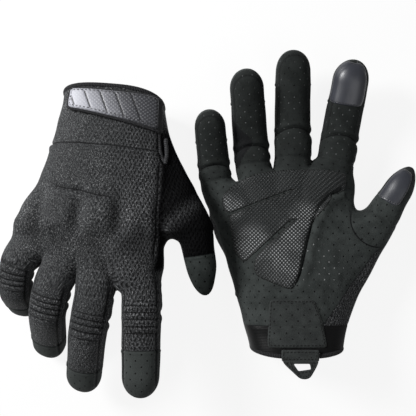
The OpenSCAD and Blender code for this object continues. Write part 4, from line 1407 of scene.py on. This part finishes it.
def scale_material():
    """Embossed rubber print: bulging rows of small scales, with painted highlights in a few spots."""
    shader, u, v, flat, depth = cut_cloth("embossed_scales")[:5]
    off_u = shader.minus(u, SWELL_AT[0])
    off_v = shader.minus(v, SWELL_AT[1])
    column = swelled(shader, off_u, off_v)
    row = swelled(shader, off_v, off_u)
    spot = shader.spots(column, row, SCALE_PITCH, 300.0)
    scale = shader.range(spot, 0.9, 0.3)
    # Painted highlights: the scales' tops turn pale in a few round spots.
    painted_glint = 0.0
    for shine_u, shine_v, reach in PAINTED_SHINES:
        away = shader.length(shader.minus(u, shine_u), shader.minus(v, shine_v))
        painted_glint = shader.most(painted_glint, shader.range(away, reach, 0.35 * reach))
    painted_glint = shader.times(painted_glint, shader.range(shader.noise(flat, 0.08, 2.0), 0.3, 0.6, 0.35, 1.0))
    ground = shader.mix(shader.noise(flat, 0.5), (0.006, 0.0073, 0.0073), (0.013, 0.015, 0.015))
    top = shader.mix(painted_glint, (0.027, 0.031, 0.032), (0.34, 0.35, 0.357))
    colour = shader.mix(shader.times(scale, shader.range(depth, 0.3, 2.2)), ground, top)
    edge = shader.times(shader.range(depth, 0.7, 0.25), shader.range(u, 2.0, -5.0))
    colour = shader.mix(edge, colour, (0.003, 0.003, 0.003))
    shader.set(Base_Color=colour, Normal=shader.bump(scale, 0.0006, 0.9))
    shader.set(Roughness=shader.blend(scale, 0.7, 0.32), Specular_IOR_Level=0.5)
    return shader.material


def swelled(shader, along, across):
    """A place along a row of scales, where the rows bulge away from their middle."""
    bulge = shader.times(shader.times(across, across), SWELL)
    return shader.times(along, shader.plus(bulge, 1.0))


def patch_material():
    """Perforated suede with a stitched edge."""
    shader, u, v, flat, depth, along = cut_cloth("perforated_suede")
    fibre = shader.noise(flat, 1.6, 3.0)
    mottle = shader.range(shader.noise(flat, 0.12, 4.0), 0.35, 0.65)
    nap = shader.mix(mottle, (0.015, 0.0175, 0.017), (0.027, 0.031, 0.03))
    nap = shader.mix(shader.range(fibre, 0.4, 0.75, 0.0, 0.55), nap, (0.048, 0.052, 0.051))
    spot = shader.spots(u, v, HOLE_PITCH, 400.0)
    hole = shader.times(shader.range(spot, 0.7, 0.4), shader.range(depth, 2.2, 3.0))
    stitch = dashed(shader, depth, along, 1.6, 0.5, 2.6)
    colour = shader.mix(hole, nap, (0.002, 0.002, 0.002))
    colour = shader.mix(shader.times(stitch, 0.8), colour, (0.004, 0.004, 0.004))
    height = shader.minus(shader.times(fibre, 0.5), shader.most(hole, stitch))
    shader.set(Base_Color=colour, Normal=shader.bump(height, 0.0006, 0.9), Roughness=0.85)
    shader.set(Specular_IOR_Level=0.25, Sheen_Weight=0.06)
    return shader.material


def touch_material():
    """Smooth coated leather with a satin shine and a stitched edge."""
    shader, _, _, flat, depth, along = cut_cloth("touch_leather")
    pores = shader.noise(flat, 2.2, 3.0)
    stitch = dashed(shader, depth, along, 1.3, 0.45, 2.2)
    colour = shader.mix(shader.noise(flat, 0.1, 2.0), (0.019, 0.021, 0.028), (0.037, 0.040, 0.052))
    colour = shader.mix(shader.times(stitch, 0.8), colour, (0.004, 0.004, 0.005))
    height = shader.minus(shader.times(pores, 0.25), stitch)
    shader.set(Base_Color=colour, Normal=shader.bump(height, 0.0003, 0.6))
    shader.set(Roughness=shader.range(pores, 0.3, 0.7, 0.36, 0.46), Specular_IOR_Level=0.8)
    return shader.material


def rubber_material():
    """Moulded rubber in slanted bars, with a lattice of small diamonds, a stitched edge, a painted reflection and
    painted shade in the grooves.
    """
    shader, u, v, flat, depth, along = cut_cloth("strap_rubber")
    spot = shader.spots(u, v, 2.7, 200.0)
    slide = shader.minus(u, shader.times(v, GROOVE_SLOPE))
    dot = shader.times(shader.range(spot, 0.75, 0.4), shader.range(slide, -24, 2, 0.15, 1.0))
    # Painted reflection: the face and its diamonds run from pale to dark along the strap, with ragged noise in
    # between.
    patchy = shader.times(shader.noise(flat, 0.1), 9.0)
    knit_wear_and_strap_painted_sheen = shader.range(shader.plus(slide, patchy), -28, 16)
    face = shader.mix(knit_wear_and_strap_painted_sheen, (0.38, 0.385, 0.43), (0.044, 0.045, 0.052))
    pale = shader.mix(knit_wear_and_strap_painted_sheen, (0.56, 0.565, 0.61), (0.11, 0.112, 0.12))
    colour = shader.mix(dot, face, pale)
    # Painted shade in the grooves between the moulded bars.
    past = shader.minus(slide, GROOVE_FROM - 20 * GROOVE_PITCH)
    bar = shader.math("PINGPONG", past, GROOVE_PITCH / 2)
    reach = GROOVE_FROM + (GROOVES - 0.5) * GROOVE_PITCH
    groove = shader.times(shader.range(bar, 0.75, 0.35), shader.range(slide, reach + 0.2, reach - 0.2))
    groove = shader.times(groove, shader.range(depth, 1.8, 2.4))
    stitch = dashed(shader, depth, along, 1.5, 0.55, 2.6)
    dark = shader.most(groove, stitch)
    colour = shader.mix(shader.times(dark, 0.9), colour, (0.012, 0.012, 0.014))
    shader.set(Base_Color=colour, Normal=shader.bump(shader.minus(dot, stitch), 0.0003, 0.7))
    shader.set(Roughness=shader.blend(dot, 0.5, 0.36), Specular_IOR_Level=0.5)
    return shader.material


def ribbed_material(name, dark, light, period):
    """Woven binding with fine ribs across its length."""
    shader = Shader(name)
    s, around = shader.attribute("grain")[:2]
    ribs = shader.waves(s, period)
    weave = shader.noise(shader.joined(s, shader.times(around, 2.0)), 1.4, 3.0)
    tone = shader.times(shader.range(ribs, -1, 1), shader.range(weave, 0.3, 0.7))
    shader.set(Base_Color=shader.mix(tone, dark, light), Roughness=0.8, Specular_IOR_Level=0.25)
    shader.set(Normal=shader.bump(shader.plus(ribs, weave), 0.0002, 0.7))
    return shader.material


def tape_material(name, rows, dark, light):
    """Fastening tape: rows of small hooks or loops."""
    shader, u, v, flat = cut_cloth(name)[:4]
    spot = shader.spots(u, v, rows, 200.0)
    tuft = shader.range(spot, 0.45 * rows, 0.15 * rows)
    fuzz = shader.noise(flat, 2.5, 3.0)
    tone = shader.times(tuft, shader.range(fuzz, 0.3, 0.7))
    shader.set(Base_Color=shader.mix(tone, dark, light), Roughness=0.7, Specular_IOR_Level=0.3)
    shader.set(Normal=shader.bump(shader.plus(tuft, fuzz), 0.0006, 0.9))
    return shader.material


def foam_material():
    """Closed-cell foam."""
    shader = Shader("guard_foam")
    where = shader.node("TexCoord").outputs["Object"]
    cells = shader.node("TexVoronoi", {"Vector": where, "Scale": 900.0}).outputs[0]
    colour = shader.mix(shader.range(cells, 0.1, 0.6), (0.012, 0.012, 0.013), (0.03, 0.03, 0.032))
    shader.set(Base_Color=colour, Roughness=0.95, Normal=shader.bump(cells, 0.0004, 0.6))
    return shader.material


def shell(points, normal, quads, wall):
    """A sheet made into a closed wall: its vertices, normals and faces, with the outside first."""
    count = len(points)
    vertices = np.concatenate([points, points - wall * normal])
    normals = np.concatenate([normal, -normal])
    return vertices, normals, np.concatenate([quads, quads[:, ::-1] + count, edge_wall(quads, count)])


def skin_piece(skin, which, name, material):
    """The part of the skin whose faces carry this number, as a closed wall."""
    used, quads = np.unique(skin.quads[skin.piece == which], return_inverse=True)
    vertices, normals, faces = shell(skin.points[used], skin.normal[used], quads.reshape(-1, 4), SKIN_WALL)
    grain = np.column_stack([skin.u[used], skin.v[used], skin.base[used, 2]])
    tables = {"grain": grain, "regions": skin.fields[used], "seams": skin.lines[used],
              "shown": skin.shown[used], "shade": skin.shade[used]}
    fields = {key: np.tile(table, (2, 1)) for key, table in tables.items()}
    glove = skin.glove
    normals = normals @ glove.turn.T
    return add_piece(glove.name + name, glove.world(vertices), faces, material, fields, normals)


def sew(piece, body, slot, *nodes):
    """Put a piece on a body, with its slot and the nodes that it stands for."""
    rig.ride(piece, body)
    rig.slot(piece, slot)
    if nodes:
        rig.replaces(piece, *nodes)


def sew_across(piece, bodies, glove, stall, places, slot, *nodes):
    """Put a piece across a joint, going from one body to the other between two places along a stall."""
    start, end = (glove.world(stall.at(s)[0]) for s in places)
    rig.blend(piece, *bodies, start, end)
    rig.slot(piece, slot)
    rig.replaces(piece, *nodes)


def cut_skin(skin, cloth):
    """The pieces of one glove's skin: the hand, each finger's base and tip, and the thumb's tip."""
    glove = skin.glove
    name = glove.name
    piece = skin_piece(skin, HAND_PIECE, "hand_shell", cloth)
    sew(piece, "hands", "knit", *(name + node for node in HAND_NODES))
    for i, finger in enumerate(FINGERS):
        stall = glove.fingers[i]
        base = name + finger + "_base"
        tip = name + finger + "_tip"
        piece = skin_piece(skin, BASE_PIECE + i, finger + "_base_stall", cloth)
        places = (skin.starts[i] + BLEND_IN, skin.cuts[i] - BLEND_IN)
        sew_across(piece, ("hands", base), glove, stall, places, "knit", base)
        piece = skin_piece(skin, TIP_PIECE + i, finger + "_tip_stall", cloth)
        joint = glove.joint_at[i]
        reach = joint - skin.cuts[i] - BLEND_IN
        places = (joint - reach, joint + reach)
        sew_across(piece, (base, tip), glove, stall, places, "tip_suede", tip, name + finger + "_flex_panel")
    tip = name + "thumb_tip"
    piece = skin_piece(skin, THUMB_PIECE, "thumb_stall", cloth)
    sew_across(piece, ("hands", tip), glove, glove.thumb, (-THUMB_REACH, THUMB_REACH), "tip_suede", tip)


def closure_outline(glove, ends, margin):
    """Outline of a layer between two shares of the wrist, inside the strap's edges by a margin."""
    whole = STRAP_ENDS[1] - STRAP_ENDS[0]
    corners = []
    for f, low in ((ends[0], False), (ends[1], False), (ends[1], True), (ends[0], True)):
        share = (f - STRAP_ENDS[0]) / whole
        height = STRAP_HEIGHTS[0] + share * (STRAP_HEIGHTS[1] - STRAP_HEIGHTS[0])
        top = STRAP_TOPS[0] + share * (STRAP_TOPS[1] - STRAP_TOPS[0])
        y = top + height - margin if low else top + margin
        middle, half_w = glove.hand_section(y)[:2]
        corners.append((middle + f * half_w, y))
    return np.array(corners)


def grooved(x, y):
    """Depth of the grooves between the strap's moulded bars."""
    depth = np.zeros(len(x))
    for k in range(GROOVES):
        across = x - GROOVE_SLOPE * y - GROOVE_FROM - GROOVE_PITCH * k
        depth -= GROOVE_DEPTH * bump(across, GROOVE_HALF)
    return depth


def scaled(x, y):
    """Height of the lobes' embossed scales."""
    k = 2 * np.pi / SCALE_PITCH
    off_x = x - SWELL_AT[0]
    off_y = y - SWELL_AT[1]
    column = off_x * (1 + SWELL * off_y ** 2)
    row = off_y * (1 + SWELL * off_x ** 2)
    return SCALE_HEIGHT * np.cos(k * column) * np.cos(k * row)


def along_back(skin, route, lift):
    """Points over a route on the back of the hand, this far out, and the skin's normals there."""
    route = np.asarray(route, float)
    s = run_along(route)
    at = np.arange(0, s[-1], 0.9)
    line = np.column_stack([np.interp(at, s, values) for values in route.T])
    hits = [skin.tree.ray_cast(Vector((x, y, -CAST_FROM)), Vector((0, 0, 1))) for x, y in line]
    points, normals = seated(skin, [hit for hit in hits if hit[0] is not None])
    kernel = np.ones(7) / 7
    ends = np.pad(points, ((3, 3), (0, 0)), "edge")
    points = np.column_stack([np.convolve(ends[:, k], kernel, "valid") for k in range(3)])
    return points + lift * normals, normals


def dress(skin, cloths):
    """The pieces sewn on one glove."""
    glove = skin.glove
    name = glove.name
    palm = on_palm(skin)
    for lobe, outline in (("upper", UPPER_LOBE), ("middle", MIDDLE_LOBE), ("lower", LOWER_LOBE)):
        pattern = Pattern(rounded(outline, 4), 0.7)
        piece = pad(glove, lobe + "_grip_lobe", pattern, palm, cloths["scales"], *LOBE_PAD, scaled)
        sew(piece, "hands", "grip_patch", name + lobe + "_grip_patch")
    pattern = Pattern(rounded(HEEL, 3), 1.0)
    piece = pad(glove, "heel_pad", pattern, palm, cloths["suede"], *HEEL_PAD)
    sew(piece, "hands", "palm_suede", name + "heel_patch")
    touch_face(skin, "index", glove.fingers[0], *INDEX_TOUCH, cloths["touch"])
    touch_face(skin, "thumb", glove.thumb, *THUMB_TOUCH, cloths["touch"])
    close(glove, cloths)
    pull_loop(glove, cloths["suede"])
    bind(skin, cloths["binding"])
    for side, route in (("near", NEAR_PIPING), ("far", FAR_PIPING)):
        points, normals = along_back(skin, route, 0.4 * PIPING)
        piece = tube(glove, side + "_slit_piping", points, normals, PIPING, PIPING, False, cloths["piping"])
        sew(piece, "hands", "binding")
    guard(skin, cloths["foam"])


def touch_face(skin, finger, stall, end, sides, cloth):
    """The smooth patch on a fingertip: distance from the end, and sides as shares of half the width."""
    low = stall.length - TOUCH_LENGTH
    high = stall.length - end
    left, right = (side * stall.half_w for side in sides)
    pattern = Pattern(rounded([(left, low), (right, low), (right, high), (left, high)], 6), 0.9)
    name = skin.glove.name + finger
    piece = pad(skin.glove, finger + "_touch_face", pattern, on_stall(skin, stall), cloth, *TOUCH_PAD)
    sew(piece, name + "_tip", "touch_leather", name + "_touch_patch")


def close(glove, cloths):
    """The closure: tape on the wrist, and the strap's tape, tab and moulded face, one over the other."""
    strap = glove.name + "strap"
    low, high = STRAP_ENDS
    tape_end = high - TAPE_SHORT / glove.wrist_half
    tape_ends = (low + 0.05, tape_end - 0.05)
    face_ends = (low + 0.06, high - 0.09)
    # Name, body, slot and node, then ends, margin, height over the wrist, thickness and depth below
    layers = (
        ("wrist_loop_tape", "hands", "loop_tape", "loop_tape", (low, tape_end), 3.0, 0.55, 0.85, 0.5),
        ("strap_hook_tape", strap, "hook_tape", "hook_tape", tape_ends, 3.0, 1.8, 0.8, 0.3),
        ("strap_tab", strap, "binding", "closure_strap", STRAP_ENDS, 0.0, 3.0, 1.1, 0.4),
        ("strap_grip_face", strap, "strap_rubber", "strap_grip", face_ends, 1.5, 4.2, 1.4, 0.3))
    for name, body, slot, node, ends, margin, off, height, sink in layers:
        pattern = Pattern(rounded(closure_outline(glove, ends, margin), 3), 0.8)
        relief = grooved if node == "strap_grip" else None
        seat = on_wrist(glove, off)
        piece = pad(glove, name, pattern, seat, cloths[node], height, STRAP_EDGE, sink, relief)
        sew(piece, body, slot, glove.name + node)


def pull_loop(glove, cloth):
    """The band that folds about its hinge, and its root over the cuff's edge."""
    pattern = Pattern(rounded(LOOP, 2), 0.8, rounded(LOOP_HOLE, 0.8))
    piece = pad(glove, "pull_band", pattern, on_loop(glove), cloth, *LOOP_PAD)
    sew(piece, glove.name + "loop", "palm_suede", glove.name + "pull_loop")
    pattern = Pattern(rounded(LOOP_ROOT, 1.2), 0.9)
    piece = pad(glove, "loop_root", pattern, on_rim(glove), cloth, *LOOP_ROOT_PAD)
    sew(piece, "hands", "palm_suede")


def bind(skin, cloth):
    """The rolled binding round the cuff's edge."""
    glove = skin.glove
    turns = np.linspace(0, 2 * np.pi, 180, endpoint=False)
    ways = np.column_stack([np.cos(turns), 0 * turns, np.sin(turns)])
    path = np.sign(ways) * np.abs(ways) ** (2 / HAND_POWER) * (glove.wrist_half, 0, glove.half_t[0])
    path[:, 1] = skin.rim_height(path) - BINDING_IN
    path = resampled(path, 240)
    out = path * (1, 0, 1)
    piece = tube(glove, "cuff_edge", path - BINDING_IN * units(out), out, *BINDING, True, cloth)
    sew(piece, "hands", "binding", glove.name + "cuff_binding")


def guard(skin, cloth):
    """Moulded foam under the back's knit, over the knuckles."""
    glove = skin.glove
    node = glove.node_points("knuckle_guard")
    low = node.min(0)[:2] + (FOAM_IN, 0)
    high = node.max(0)[:2] - (FOAM_IN, 0)
    centre = skin.base[skin.quads].mean(1)[:, :2]
    inside = ((centre > low) & (centre < high)).all(1)
    chosen = inside & (skin.back[skin.quads].min(1) > 0.35) & (skin.piece == HAND_PIECE)
    used, quads = np.unique(skin.quads[chosen], return_inverse=True)
    points = skin.points[used] - FOAM_UNDER * skin.normal[used]
    vertices, _, faces = shell(points, skin.normal[used], quads.reshape(-1, 4), FOAM)
    piece = add_piece(glove.name + "knuckle_foam", glove.world(vertices), faces, cloth)
    sew(piece, "hands", "guard_foam", glove.name + "knuckle_guard")
    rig.padded(piece, fill=0.8)


def floor_material():
    """A white floor that glows where it is seen, and still takes the gloves' shadow."""
    shader = Shader("floor")
    shader.set(Base_Color=(0.93, 0.93, 0.93), Roughness=0.9, Specular_IOR_Level=0.1)
    glow = shader.node("Emission", {"Color": (1, 1, 1), "Strength": 1.0}).outputs[0]
    ray = shader.node("LightPath").outputs
    seen = shader.most(ray["Is Camera Ray"], ray["Is Glossy Ray"])
    inputs = {0: shader.times(seen, 0.88), 1: shader.surface.outputs[0], 2: glow}
    mixed = shader.node("MixShader", inputs)
    shader.tree.links.new(mixed.outputs[0], shader.output.inputs[0])
    return shader.material


def area_light(name, place, size, power):
    """A round light that faces the middle of the floor."""
    light = bpy.data.lights.new(name, "AREA")
    light.shape = "DISK"
    light.size = size
    light.energy = power
    lamp = bpy.data.objects.new(name, light)
    lamp.location = place
    lamp.rotation_euler = (-Vector(place)).to_track_quat("-Z", "Y").to_euler()
    bpy.context.scene.collection.objects.link(lamp)


skins = [Skin(Glove(name)) for name in GLOVES]
skin_cloth = skin_material()
for skin in skins:
    cut_skin(skin, skin_cloth)
cloths = {
    "scales": scale_material(),
    "suede": patch_material(),
    "touch": touch_material(),
    "strap_grip": rubber_material(),
    "foam": foam_material(),
    "loop_tape": tape_material("loop_tape", 1.6, (0.006, 0.006, 0.007), (0.03, 0.03, 0.032)),
    "hook_tape": tape_material("hook_tape", 1.3, (0.01, 0.01, 0.011), (0.06, 0.06, 0.063)),
    "closure_strap": tape_material("strap_cloth", 1.0, (0.014, 0.014, 0.016), (0.05, 0.051, 0.054)),
    "binding": ribbed_material("binding", (0.006, 0.006, 0.007), (0.035, 0.035, 0.038), 1.2),
    "piping": ribbed_material("piping", (0.012, 0.012, 0.013), (0.09, 0.092, 0.097), 1.4)}
for skin in skins:
    dress(skin, cloths)

floor_corners = [(-3, -3, 0), (3, -3, 0), (3, 3, 0), (-3, 3, 0)]
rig.stage(add_piece("floor", floor_corners, [(0, 1, 2, 3)], floor_material()))

scene = bpy.context.scene
world = bpy.data.worlds.new("studio")
world.use_nodes = True
background = world.node_tree.nodes["Background"]
background.inputs["Color"].default_value = (1, 1, 1, 1)
background.inputs["Strength"].default_value = SURROUNDINGS
scene.world = world
area_light("key_light", *KEY_LIGHT)
area_light("fill_light", *FILL_LIGHT)

camera = bpy.data.objects.new("camera", bpy.data.cameras.new("camera"))
camera.location = CAMERA_AT
camera.data.sensor_width = SENSOR
camera.data.lens = SENSOR * SHOWN_AT / SHOWN_WIDTH
camera.data.clip_start = 0.01
scene.collection.objects.link(camera)
scene.camera = camera
scene.view_settings.view_transform = "Standard"

with open("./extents.json", "w") as out:
    json.dump([cad_box, [list(corner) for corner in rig.bounds()]], out)
